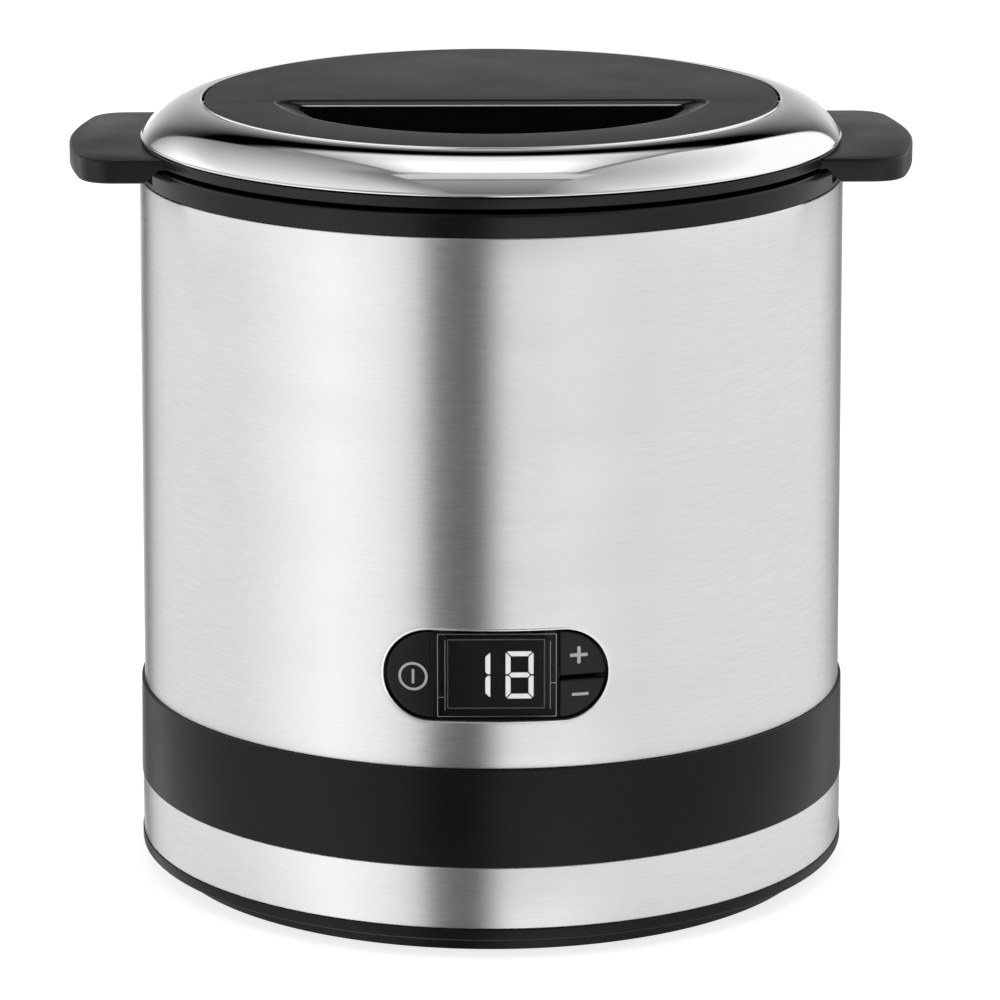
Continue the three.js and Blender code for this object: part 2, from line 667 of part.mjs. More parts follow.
// The space under a lug's root, which slopes up and clears the housing's rim beside its notch.
function lugRelief(side) {
  const flatX = LUG.rootX + 3.1;
  const section = polygon([
    [side * 50, 140], [side * flatX, 140], [side * flatX, LUG.bottom], [side * LUG.rootX, LUG.rootZ],
    [side * 50, LUG.rootZ],
  ]);
  const besides = [-1, 1].map((end) =>
    block(60, 20, 140, LUG.rootZ).translate(side * 60, end * (NOTCH.half + 9.7), 0));
  const clearance = besides.map((box) => solid(box).intersect(solid(disc(RIM_R + 0.4, 140, 160, SIDES))));
  return [solid(frontPrism(section, -40, 40)), ...clearance];
}

function lidBody() {
  const plateTop = CHROME_Z - GAP;
  const plate = turned([
    [0, SKIRT_Z],
    [WELL_R - 2.8, SKIRT_Z],
    [WELL_R - 2.8, 150.2],
    [WELL_R - 0.8, 150.2],
    [WELL_R - 0.8, SKIRT_Z],
    [SKIRT_R, SKIRT_Z],
    [SKIRT_R, plateTop],
    [0, plateTop],
  ]);
  const lugs = [-1, 1].map((side) => lugRelief(side).reduce(
    (lug, relief) => lug.subtract(relief), solid(prism(lugShape(side), LUG.bottom, LUG.top, 7))));
  const stub = block(2 * STUB.half, 2 * STUB.half, STUB.bottom, SKIRT_Z + 0.5);
  const opening = prism(halfMoon(MOUTH, WALL + 0.4), 140, 170, 8);
  const body = [...lugs, solid(stub)].reduce((whole, part) => whole.add(part), solid(plate));
  return piece("lid_body", geometryOf(body.subtract(solid(opening))), BLACK);
}

// Domed trim: the upper part of a quarter ellipse whose centre lies below the ring, and the same
// curve inside it, one sheet thinner.
function chromeRing() {
  const inner = INSERT_R + 0.5;
  const sink = 7.2;
  const sheet = 1.3;
  const curve = (steps, reach, rise) => {
    const start = Math.asin(sink / (sink + rise));
    const width = reach / Math.cos(start);
    return Array.from({ length: steps + 1 }, (_, index) => {
      const turn = start + (index / steps) * (Math.PI / 2 - start);
      return [inner + width * Math.cos(turn), CHROME_Z - sink + (sink + rise) * Math.sin(turn)];
    });
  };
  const rise = TOP_Z - 0.3 - CHROME_Z;
  const outside = curve(5, CHROME_R - inner, rise);
  const inside = curve(2, CHROME_R - inner - sheet, rise - sheet).reverse();
  return piece("chrome_ring", turned([...outside, ...inside]), CHROME);
}

function lidInsert() {
  const cup = turned([
    [0, TOP_Z - 2],
    [INSERT_R - WALL, TOP_Z - 2],
    [INSERT_R - WALL, CHROME_Z],
    [INSERT_R, CHROME_Z],
    [INSERT_R, TOP_Z],
    [0, TOP_Z],
  ]);
  const collar = prism(halfMoon(MOUTH, WALL), THROAT_Z - WALL, TOP_Z - 0.5, 8);
  const chute = prism(halfMoon(THROAT, WALL), CHUTE_Z, THROAT_Z, 8);
  const throat = prism(halfMoon(THROAT), 140, THROAT_Z + 0.1, 8);
  const mouth = funnel(halfMoon(THROAT), halfMoon(MOUTH), THROAT_Z, TOP_Z);
  const above = prism(halfMoon(MOUTH), TOP_Z - 0.05, 180, 8);
  const body = carve(cup, { add: [collar, chute], cut: [throat, mouth, above] });
  return piece("lid_insert", body, MATTE_BLACK);
}

// Flat frame with two windows, hung from a socket on the lid's square stub.
function paddle() {
  const { reach, bottom, shoulder, neck, bar, half } = PADDLE;
  const frame = polygon([
    [-reach + 8, bottom], [reach - 8, bottom], [reach, bottom + 8], [reach, shoulder - 6],
    [reach - 6, shoulder], [7, neck], [-7, neck], [-reach + 6, shoulder], [-reach, shoulder - 6],
    [-reach, bottom + 8],
  ]);
  const windows = [-1, 1].map((side) => frontPrism(polygon([
    [side * 6, bottom + bar], [side * (reach - 11), bottom + bar], [side * (reach - bar), bottom + 11],
    [side * (reach - bar), shoulder - 9], [side * (reach - 10), shoulder - 6.5], [side * 6, neck - 8],
  ]), -2 * half, 2 * half));
  const socket = block(2 * STUB.half + 0.8, 2 * STUB.half + 0.8, STUB.bottom - 2, 160);
  const body = carve(frontPrism(frame, -half, half), {
    add: [disc(7.5, neck - 8, PADDLE.top, 20)],
    cut: [socket, ...windows],
  });
  return piece("paddle", body, BOWL_PLASTIC);
}

// ---- Freezer bowl ------------------------------------------------------------------------------

function bowlOuter() {
  const wall = BOWL.outer - BOWL.inner;
  const recess = SOCKET_R + 0.4;
  return piece("bowl_outer", turned([
    [0, SOCKET_ROOF_Z],
    [recess, SOCKET_ROOF_Z],
    [recess, BOWL.bottom],
    [BOWL.outer - 4, BOWL.bottom],
    [BOWL.outer, BOWL.bottom + 4],
    [BOWL.outer, BOWL.top],
    [BOWL.inner, BOWL.top],
    [BOWL.inner, BOWL.bottom + 4.8],
    [BOWL.inner - 3, BOWL.bottom + wall],
    [recess + wall, BOWL.bottom + wall],
    [recess + wall, SOCKET_ROOF_Z + wall],
    [0, SOCKET_ROOF_Z + wall],
  ]), BOWL_PLASTIC);
}

function bowlLiner() {
  const outer = BOWL.liner + BOWL.sheet;
  const floor = BOWL_FLOOR_Z - BOWL.sheet;
  return piece("bowl_liner", turned([
    [0, floor],
    [outer - 4, floor],
    [outer, floor + 4],
    [outer, BOWL.top + GAP],
    [BOWL.outer - 0.4, BOWL.top + GAP],
    [BOWL.outer - 0.4, BOWL.top + GAP + 1],
    [BOWL.liner, BOWL.top + GAP + 1],
    [BOWL.liner, BOWL_FLOOR_Z + 3.5],
    [BOWL.liner - 3.5, BOWL_FLOOR_Z],
    [0, BOWL_FLOOR_Z],
  ]), ALUMINIUM);
}

// The charge between the two walls, with air left above it.
function coolingGel() {
  const wall = BOWL.outer - BOWL.inner;
  const recess = SOCKET_R + 0.4 + wall + 0.4;
  const bottom = BOWL.bottom + wall + 0.4;
  const linerOuter = BOWL.liner + BOWL.sheet + 0.4;
  return piece("cooling_gel", turned([
    [0, SOCKET_ROOF_Z + wall + 0.4],
    [recess, SOCKET_ROOF_Z + wall + 0.4],
    [recess, bottom],
    [BOWL.inner - 3.6, bottom],
    [BOWL.inner - 0.4, bottom + 3.2],
    [BOWL.inner - 0.4, GEL_TOP_Z],
    [linerOuter, GEL_TOP_Z],
    [linerOuter, BOWL_FLOOR_Z - BOWL.sheet - 0.4],
    [0, BOWL_FLOOR_Z - BOWL.sheet - 0.4],
  ]), GEL);
}

function bowlRim() {
  const low = BOWL.top + 2 * GAP + 1;
  const high = low + 2.2;
  return piece("bowl_rim", turned([
    [BOWL.liner + 0.1, low],
    [BOWL.outer + 0.4, low],
    [BOWL.outer + 0.4, high - 0.8],
    [BOWL.outer - 0.4, high],
    [BOWL.liner + 0.9, high],
    [BOWL.liner + 0.1, high - 0.8],
  ]), BOWL_PLASTIC);
}

function driveSocket() {
  const ring = disc(SOCKET_R, BOWL.bottom + 0.4, SOCKET_ROOF_Z - GAP);
  return piece("drive_socket", carve(ring, { cut: [prism(lobes(0.5), 50, 70)] }), MATTE_BLACK);
}

// ---- Assembly ----------------------------------------------------------------------------------

const maker = new THREE.Group();
maker.add(
  group([basePan(), ...rubberFeet(), ...baseScrews(), lowerSteelBand(), blackBand(), cordGland()]),
  group([upperSteelShell(), innerHousing()]),
  group([gearboxPlate(), gearboxCover(), ...gearboxScrews(), ...bushes()]),
  group([motor(), rotor(), idler(), spindle()]),
  group([powerBoard(), ...motorLeads(), ribbonLead()]),
  group([panelFrame(), displayWindow(), ...keys(), controlBoard()]),
  group([lidBody(), chromeRing(), lidInsert(), paddle()]),
  group([bowlOuter(), bowlLiner(), coolingGel(), bowlRim(), driveSocket()]),
);

export default maker;
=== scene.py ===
"""Looks of a compact frozen-dessert maker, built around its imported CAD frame.

Sizes are in millimetres until a mesh is made. +Z is up and the front faces -Y.
"""

import math

import bmesh
import bpy
from mathutils import Euler, Matrix, Vector


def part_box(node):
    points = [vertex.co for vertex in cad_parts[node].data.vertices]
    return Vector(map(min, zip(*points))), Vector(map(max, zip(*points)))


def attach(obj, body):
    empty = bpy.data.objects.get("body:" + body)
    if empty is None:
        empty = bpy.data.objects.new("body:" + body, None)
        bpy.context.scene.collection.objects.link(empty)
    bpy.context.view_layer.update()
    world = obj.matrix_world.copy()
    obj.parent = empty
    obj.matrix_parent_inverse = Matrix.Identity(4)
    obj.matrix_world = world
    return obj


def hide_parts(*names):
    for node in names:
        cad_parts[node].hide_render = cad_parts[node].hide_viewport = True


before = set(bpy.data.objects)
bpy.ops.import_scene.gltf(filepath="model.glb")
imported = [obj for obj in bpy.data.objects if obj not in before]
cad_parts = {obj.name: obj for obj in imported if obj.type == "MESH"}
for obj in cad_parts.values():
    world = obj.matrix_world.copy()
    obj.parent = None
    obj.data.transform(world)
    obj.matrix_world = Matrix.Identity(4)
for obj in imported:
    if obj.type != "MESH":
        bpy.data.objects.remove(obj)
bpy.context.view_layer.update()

MM = 0.001
ROUND = 360  # columns of a large round part
SHEET = 0.6  # steel sheet
SEAM = 0.05  # between the drum's rings, which look pressed together
PAN_GAP = 0.3  # from the CAD steel band down to the lip of the base pan
BOSS_R = 61  # circle of the screws in the base
BOSS_TURNS = (60, 120, 240, 300)
NOTCH_X, NOTCH_HALF, NOTCH_Z = 68.6, 22.6, 150.7  # the notches in the rim under the lugs
DRUM_AT_PANEL = 74.83  # radius of the drum's sheet at the panel's height


def corners(node):
    """Lowest and highest corner of a CAD node, in millimetres."""
    low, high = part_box(node)
    return low / MM, high / MM


# ---- Mesh tools --------------------------------------------------------------------------------


def make(name, verts, faces, crease=35):
    """A mesh object from millimetres, facing outwards, smooth but for edges sharper than crease."""
    mesh = bpy.data.meshes.new(name)
    mesh.from_pydata([Vector(v) * MM for v in verts], [], faces)
    piece = bpy.data.objects.new(name, mesh)
    bpy.context.scene.collection.objects.link(piece)
    clean(piece, crease)
    return piece


def clean(piece, crease=35):
    """Merges doubled points, turns the faces outwards and marks the sharp edges."""
    body = bmesh.new()
    body.from_mesh(piece.data)
    bmesh.ops.remove_doubles(body, verts=body.verts, dist=2e-7)
    bmesh.ops.dissolve_degenerate(body, edges=body.edges, dist=1e-7)
    bmesh.ops.recalc_face_normals(body, faces=body.faces)
    body.to_mesh(piece.data)
    body.free()
    piece.data.shade_smooth()
    piece.data.set_sharp_from_angle(angle=math.radians(crease))


def bake(piece):
    """Applies the modifiers of a piece to its mesh."""
    graph = bpy.context.evaluated_depsgraph_get()
    mesh = bpy.data.meshes.new_from_object(piece.evaluated_get(graph))
    piece.modifiers.clear()
    piece.data = mesh


def combine(piece, others, operation):
    """Joins other solids to a piece, or cuts them from it, and removes them."""
    for other in others:
        modifier = piece.modifiers.new("solid", "BOOLEAN")
        modifier.solver = "EXACT"
        modifier.operation = operation
        modifier.object = other
        bake(piece)
        bpy.data.objects.remove(other)
    clean(piece)
    return piece


def join(piece, *others):
    return combine(piece, others, "UNION")


def cut(piece, *others):
    return combine(piece, others, "DIFFERENCE")


def bevel(piece, width, segments=3, angle=40):
    """Rounds the sharp edges of a piece."""
    modifier = piece.modifiers.new("edge", "BEVEL")
    modifier.width = width * MM
    modifier.segments = segments
    modifier.limit_method = "ANGLE"
    modifier.angle_limit = math.radians(angle)
    modifier.use_clamp_overlap = True
    bake(piece)
    clean(piece)
    return piece


def bridge(lower, upper):
    """Faces between two closed rows of points, either of which may be a single point."""
    count = max(len(lower), len(upper))
    if len(lower) == len(upper) == 1:
        return []
    faces = []
    for index in range(count):
        after = (index + 1) % count
        corner = [lower[index % len(lower)], lower[after % len(lower)]]
        corner += [upper[after % len(upper)], upper[index % len(upper)]]
        faces.append(list(dict.fromkeys(corner)))
    return faces


def loft(name, loops, closed=False, crease=35):
    """A skin over closed loops of points. The ends are capped, or joined to each other if closed."""
    verts = [point for loop in loops for point in loop]
    rows, start = [], 0
    for loop in loops:
        rows.append(list(range(start, start + len(loop))))
        start += len(loop)
    pairs = list(zip(rows, rows[1:] + rows[:1] if closed else rows[1:]))
    faces = [face for lower, upper in pairs for face in bridge(lower, upper)]
    if not closed:
        faces += [row for row in (rows[0], rows[-1]) if len(row) > 2]
    return make(name, verts, faces, crease)


def lathe(name, profile, segments=ROUND, crease=35):
    """Turns a closed profile of radius and height about Z."""
    return loft(name, [ring(radius, height, segments) for radius, height in profile], True, crease)


def ring(radius, height, segments=ROUND):
    if radius < 1e-6:
        return [(0, 0, height)]
    turns = [2 * math.pi * index / segments for index in range(segments)]
    return [(radius * math.cos(turn), radius * math.sin(turn), height) for turn in turns]


def rounded(points, radii, steps=5):
    """A closed outline with its corners rounded. A radius of 0 keeps a corner."""
    path = []
    for index, (point, radius) in enumerate(zip(points, radii)):
        here = Vector(point)
        before = Vector(points[index - 1]) - here
        after = Vector(points[(index + 1) % len(points)]) - here
        if radius == 0:
            path.append(tuple(here))
            continue
        half = before.angle(after) / 2
        reach = min(radius / math.tan(half), 0.49 * before.length, 0.49 * after.length)
        middle = (before.normalized() + after.normalized()).normalized()
        centre = here + middle * (reach / math.cos(half))
        first = here + before.normalized() * reach - centre
        last = here + after.normalized() * reach - centre
        sweep = math.pi - 2 * half
        for step in range(steps + 1):
            turn = sweep * step / steps
            arm = first * math.sin(sweep - turn) + last * math.sin(turn)
            path.append(tuple(centre + arm / math.sin(sweep)))
    return path


def inset(outline, distance):
    """An anticlockwise outline moved inwards by a small distance."""
    moved = []
    for index, point in enumerate(outline):
        here = Vector(point)
        along = (here - Vector(outline[index - 1])).normalized()
        onward = (Vector(outline[(index + 1) % len(outline)]) - here).normalized()
        normal = Vector((-along.y - onward.y, along.x + onward.x)).normalized()
        spread = max(0.5, normal.dot(Vector((-along.y, along.x))))
        moved.append(tuple(here + normal * (distance / spread)))
    return moved


def arc(centre, radius, start, end, steps):
    """Points on an arc, its angles in degrees."""
    turns = [math.radians(start + (end - start) * step / steps) for step in range(steps + 1)]
    return [(centre[0] + radius * math.cos(t), centre[1] + radius * math.sin(t)) for t in turns]


def quarter(steps=4):
    """Shares of inset and drop along a quarter-round edge, from the side to the face."""
    turns = [math.pi / 2 * step / steps for step in range(steps + 1)]
    return [(1 - math.cos(turn), 1 - math.sin(turn)) for turn in turns]


def slab(name, outline, low, high, edge=0.0, steps=3):
    """An outline in X and Y raised from low to high, with its top and bottom edges rounded."""
    shares = quarter(steps) if edge else [(0, 0)]
    upper = [(inset(outline, edge * side), high - edge * drop) for side, drop in shares]
    lower = [(inset(outline, edge * side), low + edge * drop) for side, drop in reversed(shares)]
    return loft(name, [[(x, y, z) for x, y in loop] for loop, z in lower + upper])


def block(name, low, high):
    (x0, y0, z0), (x1, y1, z1) = low, high
    return slab(name, [(x0, y0), (x1, y0), (x1, y1), (x0, y1)], z0, z1)


def turn(piece, rotation, shift=(0, 0, 0)):
    """Turns the mesh of a piece and then shifts it."""
    move = Matrix.Translation(Vector(shift) * MM) @ Euler(rotation).to_matrix().to_4x4()
    piece.data.transform(move)
    return piece


# ---- Material tools ----------------------------------------------------------------------------


class Nodes:
    """A node tree with short calls for what the materials and the studio use."""

    def __init__(self, tree):
        self.tree = tree
        tree.nodes.clear()

    def add(self, kind, inputs=(), **settings):
        node = self.tree.nodes.new(kind)
        for key, value in settings.items():
            setattr(node, key, value)
        for key, value in dict(inputs).items():
            self.put(node.inputs[key], value)
        return node

    def put(self, socket, value):
        if isinstance(value, bpy.types.NodeSocket):
            self.tree.links.new(value, socket)
        else:
            socket.default_value = value

    def math(self, operation, first, second=0.0, third=0.0):
        values = {0: first, 1: second, 2: third}
        return self.add("ShaderNodeMath", values, operation=operation).outputs[0]

    def step(self, value, low, high, start=0.0, end=1.0):
        """Goes smoothly from start to end as value goes from low to high."""
        inputs = {"Value": value, "From Min": low, "From Max": high, "To Min": start, "To Max": end}
        node = self.add("ShaderNodeMapRange", inputs, interpolation_type="SMOOTHSTEP")
        return node.outputs["Result"]

    def mix(self, share, first, second):
        return self.add("ShaderNodeMix", {0: share, 2: first, 3: second}).outputs[0]

    def noise(self, cells, detail=3.0, roughness=0.55):
        """Noise with this many cells per metre along X, Y and Z."""
        place = self.add("ShaderNodeTexCoord").outputs["Object"]
        scaled = self.add("ShaderNodeMapping", {"Vector": place, "Scale": cells}).outputs["Vector"]
        inputs = {"Vector": scaled, "Scale": 1.0, "Detail": detail, "Roughness": roughness}
        return self.add("ShaderNodeTexNoise", inputs).outputs["Fac"]

    def tint(self, value, tone, share):
        """A tone that is darker by share where value is 0, and lighter where it is 1."""
        ramp = self.add("ShaderNodeValToRGB", {"Fac": value})
        dark, light = ramp.color_ramp.elements
        dark.position, light.position = 0.25, 0.75
        dark.color = (*[channel * (1 - share) for channel in tone], 1)
        light.color = (*[min(1, channel * (1 + share)) for channel in tone], 1)
        return ramp.outputs["Color"]

    def relief(self, height, depth, onto=None):
        """A bump of this depth in millimetres."""
        inputs = {"Height": height, "Distance": depth * MM, "Strength": 1.0}
        if onto:
            inputs["Normal"] = onto
        return self.add("ShaderNodeBump", inputs).outputs["Normal"]


def surface(name):
    """A material, its nodes and its Principled shader, whose sockets are still to be filled."""
    material = bpy.data.materials.new(name)
    material.use_nodes = True
    nodes = Nodes(material.node_tree)
    shader = nodes.add("ShaderNodeBsdfPrincipled")
    output = nodes.add("ShaderNodeOutputMaterial")
    nodes.put(output.inputs["Surface"], shader.outputs["BSDF"])
    return material, nodes, shader


def fill(nodes, shader, **sockets):
    """Gives the shader's sockets their values or node outputs."""
    for key, value in sockets.items():
        nodes.put(shader.inputs[key.replace("_", " ")], value)


def moulded(
    name, tone, rough, *, grain=1400, depth=0.004, metallic=0.0, shade=0.12, spread=0.12, **extra
):
    """A moulded or cast finish: fine grain in relief, and broad changes of tone and gloss."""
    material, nodes, shader = surface(name)
    fine = nodes.noise((grain,) * 3, 4.0)
    broad = nodes.noise((38,) * 3, 2.0)
    base = nodes.tint(broad, tone, shade)
    gloss = nodes.step(broad, 0.3, 0.7, rough * (1 - spread), rough * (1 + spread))
    fill(nodes, shader, Base_Color=base, Roughness=gloss, Metallic=metallic)
    fill(nodes, shader, Normal=nodes.relief(fine, depth), **extra)
    return material


def brushed(name, tone, rough):
    """Sheet steel brushed round the drum: long strokes along it, fine across it."""
    material, nodes, shader = surface(name)
    strokes = nodes.noise((150, 150, 3200), 4.0, 0.7)
    hairs = nodes.noise((240, 240, 9000), 2.0, 0.6)
    broad = nodes.noise((14, 14, 60), 2.0)
    mixed = nodes.math("ADD", nodes.math("MULTIPLY", strokes, 0.6), nodes.math("MULTIPLY", hairs, 0.4))
    uneven = nodes.math("MULTIPLY_ADD", broad, 0.25, nodes.math("MULTIPLY", mixed, 0.75))
    gloss = nodes.step(uneven, 0.3, 0.7, rough * 0.82, rough * 1.22)
    fill(nodes, shader, Base_Color=nodes.tint(mixed, tone, 0.14), Metallic=1.0, Roughness=gloss)
    fill(nodes, shader, Anisotropic=1.0, Anisotropic_Rotation=0.25)
    around = nodes.add("ShaderNodeTangent", direction_type="RADIAL", axis="Z").outputs[0]
    fill(nodes, shader, Tangent=around, Normal=nodes.relief(mixed, 0.006))
    return material


def polished(name, tone, rough):
    """Mirror chrome with a faint polish haze."""
    material, nodes, shader = surface(name)
    haze = nodes.noise((90, 90, 90), 3.0)
    fine = nodes.noise((700, 700, 700), 2.0)
    gloss = nodes.step(haze, 0.3, 0.7, rough * 0.7, rough * 1.3)
    fill(nodes, shader, Base_Color=nodes.tint(haze, tone, 0.015), Metallic=1.0, Roughness=gloss)
    fill(nodes, shader, Normal=nodes.relief(fine, 0.0002))
    return material


def smoked(name, tone, rough):
    """Clear smoked plastic."""
    material, nodes, shader = surface(name)
    haze = nodes.noise((300, 300, 300), 3.0)
    gloss = nodes.step(haze, 0.3, 0.7, rough * 0.6, rough * 1.5)
    fill(nodes, shader, Base_Color=nodes.tint(haze, tone, 0.05), Roughness=gloss, IOR=1.18)
    fill(nodes, shader, Transmission_Weight=1.0)
    return material


def glowing(name, tone, strength):
    """A lit display segment, its glow a little uneven."""
    material, nodes, shader = surface(name)
    uneven = nodes.noise((500, 500, 500), 2.0)
    fill(nodes, shader, Base_Color=nodes.tint(uneven, (0.5, 0.5, 0.5), 0.1), Roughness=0.4)
    fill(nodes, shader, Emission_Color=nodes.tint(uneven, tone, 0.03), Emission_Strength=strength)
    return material


STEEL = brushed("brushed_steel_finish", (0.86, 0.86, 0.865), 0.32)
CHROME = polished("chrome_finish", (0.93, 0.93, 0.935), 0.045)
BLACK = moulded("satin_black_plastic", (0.0045, 0.0045, 0.005), 0.20, Specular_IOR_Level=0.28)
BAND_BLACK = moulded("band_black_plastic", (0.003, 0.003, 0.0033), 0.30, Specular_IOR_Level=0.20)
LID_BLACK = moulded("lid_black_plastic", (0.005, 0.005, 0.0055), 0.34, depth=0.006, Specular_IOR_Level=0.32)
MATTE = moulded("matte_black_plastic_finish", (0.026, 0.026, 0.0265), 0.5, grain=2200, depth=0.012)
GLOSS = moulded(
    "gloss_black_plastic_finish", (0.005, 0.005, 0.0055), 0.30, depth=0.002, Specular_IOR_Level=0.24
)
SCREEN = moulded("display_screen", (0.018, 0.018, 0.018), 0.30, depth=0.001, Specular_IOR_Level=0.1)
# Light grey lines on the window's face: painted glints where its edges catch the light.
GLINT = moulded("painted_glint", (0.34, 0.34, 0.345), 0.4, depth=0.001, shade=0.5)
# Light grey ring round the display, behind the window: a painted highlight on the display's edge.
EDGE_HIGHLIGHT = moulded("painted_edge_highlight", (0.62, 0.62, 0.62), 0.4, depth=0.001, shade=0.3)
RUBBER = moulded("black_rubber", (0.012, 0.012, 0.012), 0.72, grain=1800, depth=0.02)
WINDOW = smoked("smoked_window", (0.42, 0.42, 0.42), 0.03)
# Light grey on the black lid: a painted highlight along the slot's back edge.
LIP_HIGHLIGHT = moulded("painted_lip_highlight", (0.62, 0.62, 0.62), 0.3, depth=0.001)
BEVEL_STEEL = polished("bevel_steel", (0.95, 0.95, 0.95), 0.25)
MARK = moulded("grey_print", (0.40, 0.40, 0.41), 0.5, depth=0.002)
LIT = glowing("lit_segment", (0.96, 0.98, 1.0), 1.75)
ALUMINIUM = moulded("aluminium_finish", (0.70, 0.71, 0.72), 0.32, metallic=1.0, grain=600, depth=0.004)
BOWL_WHITE = moulded("bowl_plastic_finish", (0.62, 0.64, 0.66), 0.38, shade=0.04)
GEL = moulded("cooling_gel_finish", (0.10, 0.32, 0.62), 0.15, depth=0.01, Transmission_Weight=0.5)
ACETAL = moulded("acetal_finish", (0.78, 0.76, 0.68), 0.42, shade=0.04)
BRONZE = moulded("sintered_bronze", (0.45, 0.25, 0.10), 0.38, metallic=1.0, grain=2600, depth=0.02)
BOARD = moulded("circuit_board_finish", (0.012, 0.055, 0.024), 0.35, depth=0.003)
TAPE = moulded("transformer_tape", (0.55, 0.36, 0.03), 0.5, depth=0.01)
ZINC = moulded("zinc_steel_finish", (0.55, 0.55, 0.56), 0.36, metallic=1.0, grain=900, depth=0.006)
GREY_LEAD = moulded("grey_lead_finish", (0.27, 0.27, 0.28), 0.55, depth=0.006)
RED_LEAD = moulded("red_lead_finish", (0.35, 0.015, 0.012), 0.5, depth=0.006)


def dress(piece, material, body, slot, *nodes):
    """Gives a piece its material and its body, and hides the CAD nodes that it stands for. The slot is not
    used.
    """
    piece.data.materials.clear()
    piece.data.materials.append(material)
    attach(piece, body)
    if nodes:
        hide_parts(*nodes)
    return piece


# ---- Housing -----------------------------------------------------------------------------------

PANEL_WIDTH = 45.6
PANEL_HEIGHT = 19.1
PANEL_Z = sum(corner.z for corner in corners("display_window")) / 2
KEY_FACE = 74.35  # radius of the front face of the keys
KEY_RADIUS = PANEL_HEIGHT / 2 - 0.55
GLAND_Z = sum(corner.z for corner in corners("cord_gland")) / 2


def cylinders(name, places, radius, low, high):
    """Upright cylinders, as one mesh."""
    sides = 24
    verts, faces = [], []
    for x, y in places:
        first = len(verts)
        for height in (low, high):
            verts += [(x + a, y + b, height) for a, b, _ in ring(radius, 0, sides)]
        lower = list(range(first, first + sides))
        upper = list(range(first + sides, first + 2 * sides))
        faces += bridge(lower, upper) + [lower, upper]
    return make(name, verts, faces)


def on_ring(radius, degrees):
    return [(radius * math.cos(math.radians(a)), radius * math.sin(math.radians(a))) for a in degrees]


def base_pan():
    """The pan with its foot ring, its lip under the steel band, and the posts inside."""
    lip = corners("base_pan")[1].x
    lip_z = corners("lower_steel_band")[0].z - PAN_GAP
    foot = [(66.4, 3.0), (66.4, 0.05), (70.4, 0.05), (70.4, 3.85)]
    outside = [(lip, 3.85), (lip, lip_z), (74.4, lip_z), (74.4, 13.7), (72.4, 13.7), (72.4, 5.2)]
    radii = [0, 0.5, 0.5, 0.3, 0.2, 0.3, 0.15, 0.3, 0.6, 0.6, 1.0, 0]
    pan = lathe("base_floor", rounded([(0, 3.0), *foot, *outside, (0, 5.2)], radii))
    posts = cylinders("posts", [(-24, 20), (-24, -20), (60, 17), (60, -17)], 3, 4.8, 33.7)
    supports = [(-62.5, -18), (-34.5, -18), (-34.5, 18), (-62.5, 18)]
    standoffs = cylinders("standoffs", supports, 2.5, 4.8, 9.2)
    holes = cylinders("holes", on_ring(BOSS_R, BOSS_TURNS), 1.9, 2, 6)
    cut(join(pan, posts, standoffs), holes)
    return dress(pan, BAND_BLACK, "base", "black_plastic", "base_pan")


def rubber_feet():
    for index in range(1, 5):
        node = f"rubber_foot_{index}"
        low, high = corners(node)
        radius, height = (high.x - low.x) / 2, high.z
        profile = [
            (0, 0.5), (2.2, 0.5), (2.6, 0), (radius - 0.7, 0), (radius, 0.9), (radius, height), (0, height),
        ]
        foot = lathe(f"foot_pad_{index}", rounded(profile, [0, 0.3, 0.3, 0.5, 0.5, 0.3, 0]), 48)
        turn(foot, (0, 0, 0), ((low.x + high.x) / 2, (low.y + high.y) / 2, 0))
        dress(foot, RUBBER, "base", "rubber", node)


def base_screws():
    """Pan-head screws with a cross recess, seen from below."""
    for index in range(1, 5):
        node = f"base_screw_{index}"
        low, high = corners(node)
        radius = (high.x - low.x) / 2
        head, shank = low.z, 1.5
        seat = corners("base_pan")[0].z + 2.2
        profile = [(0, head), (radius, head), (radius, seat), (shank, seat), (shank, high.z), (0, high.z)]
        screw = lathe(f"pan_screw_{index}", rounded(profile, [0, 0.7, 0.1, 0.1, 0.3, 0]), 40)
        halves = ((1.6, 0.35), (0.35, 1.6))
        recess = [block("recess", (-a, -b, head - 1), (a, b, head + 0.8)) for a, b in halves]
        cut(screw, *recess)
        turn(screw, (0, 0, 0.4 * index), ((low.x + high.x) / 2, (low.y + high.y) / 2, 0))
        dress(screw, ZINC, "base", "zinc_steel", node)


def lower_steel_band():
    low, high = corners("lower_steel_band")
    outer, inner = high.x, high.x - SHEET
    bottom = low.z - PAN_GAP + SEAM
    profile = [(inner, bottom), (outer, bottom), (outer, high.z), (inner, high.z)]
    band = lathe("lower_steel_skin", rounded(profile, [0.15, 0.28, 0.28, 0.15]))
    return dress(band, STEEL, "base", "brushed_steel", "lower_steel_band")


def black_band():
    outer = corners("black_band")[1].x
    base = corners("lower_steel_band")[1].z + SEAM
    top = corners("upper_steel_shell")[0].z - SEAM
    profile = [
        (71.4, 14), (74.4, 14), (74.4, base), (outer + 0.1, base), (outer - 0.15, top), (73.1, top),
        (73.1, 46), (71.4, 46),
    ]
    band = lathe("black_band_skin", rounded(profile, [0.4, 0.4, 0.2, 0.2, 0.2, 0.2, 0.5, 0.5]))
    bosses = cylinders("bosses", on_ring(BOSS_R, BOSS_TURNS), 3.5, 5.6, 26)
    webs = []
    for degrees in BOSS_TURNS:
        web = block("web", (60.2, -1, 14.5), (72.2, 1, 26))
        webs.append(turn(web, (0, 0, math.radians(degrees))))
    join(band, bosses, *webs)
    bores = cylinders("bores", on_ring(BOSS_R, BOSS_TURNS), 1.8, 5, 22)
    gland_hole = turn(cylinders("hole", [(0, 0)], 5.3, 66, 80), (-math.pi / 2, 0, 0), (0, 0, GLAND_Z))
    cut(band, bores, gland_hole)
    return dress(band, BAND_BLACK, "base", "black_plastic", "black_band")


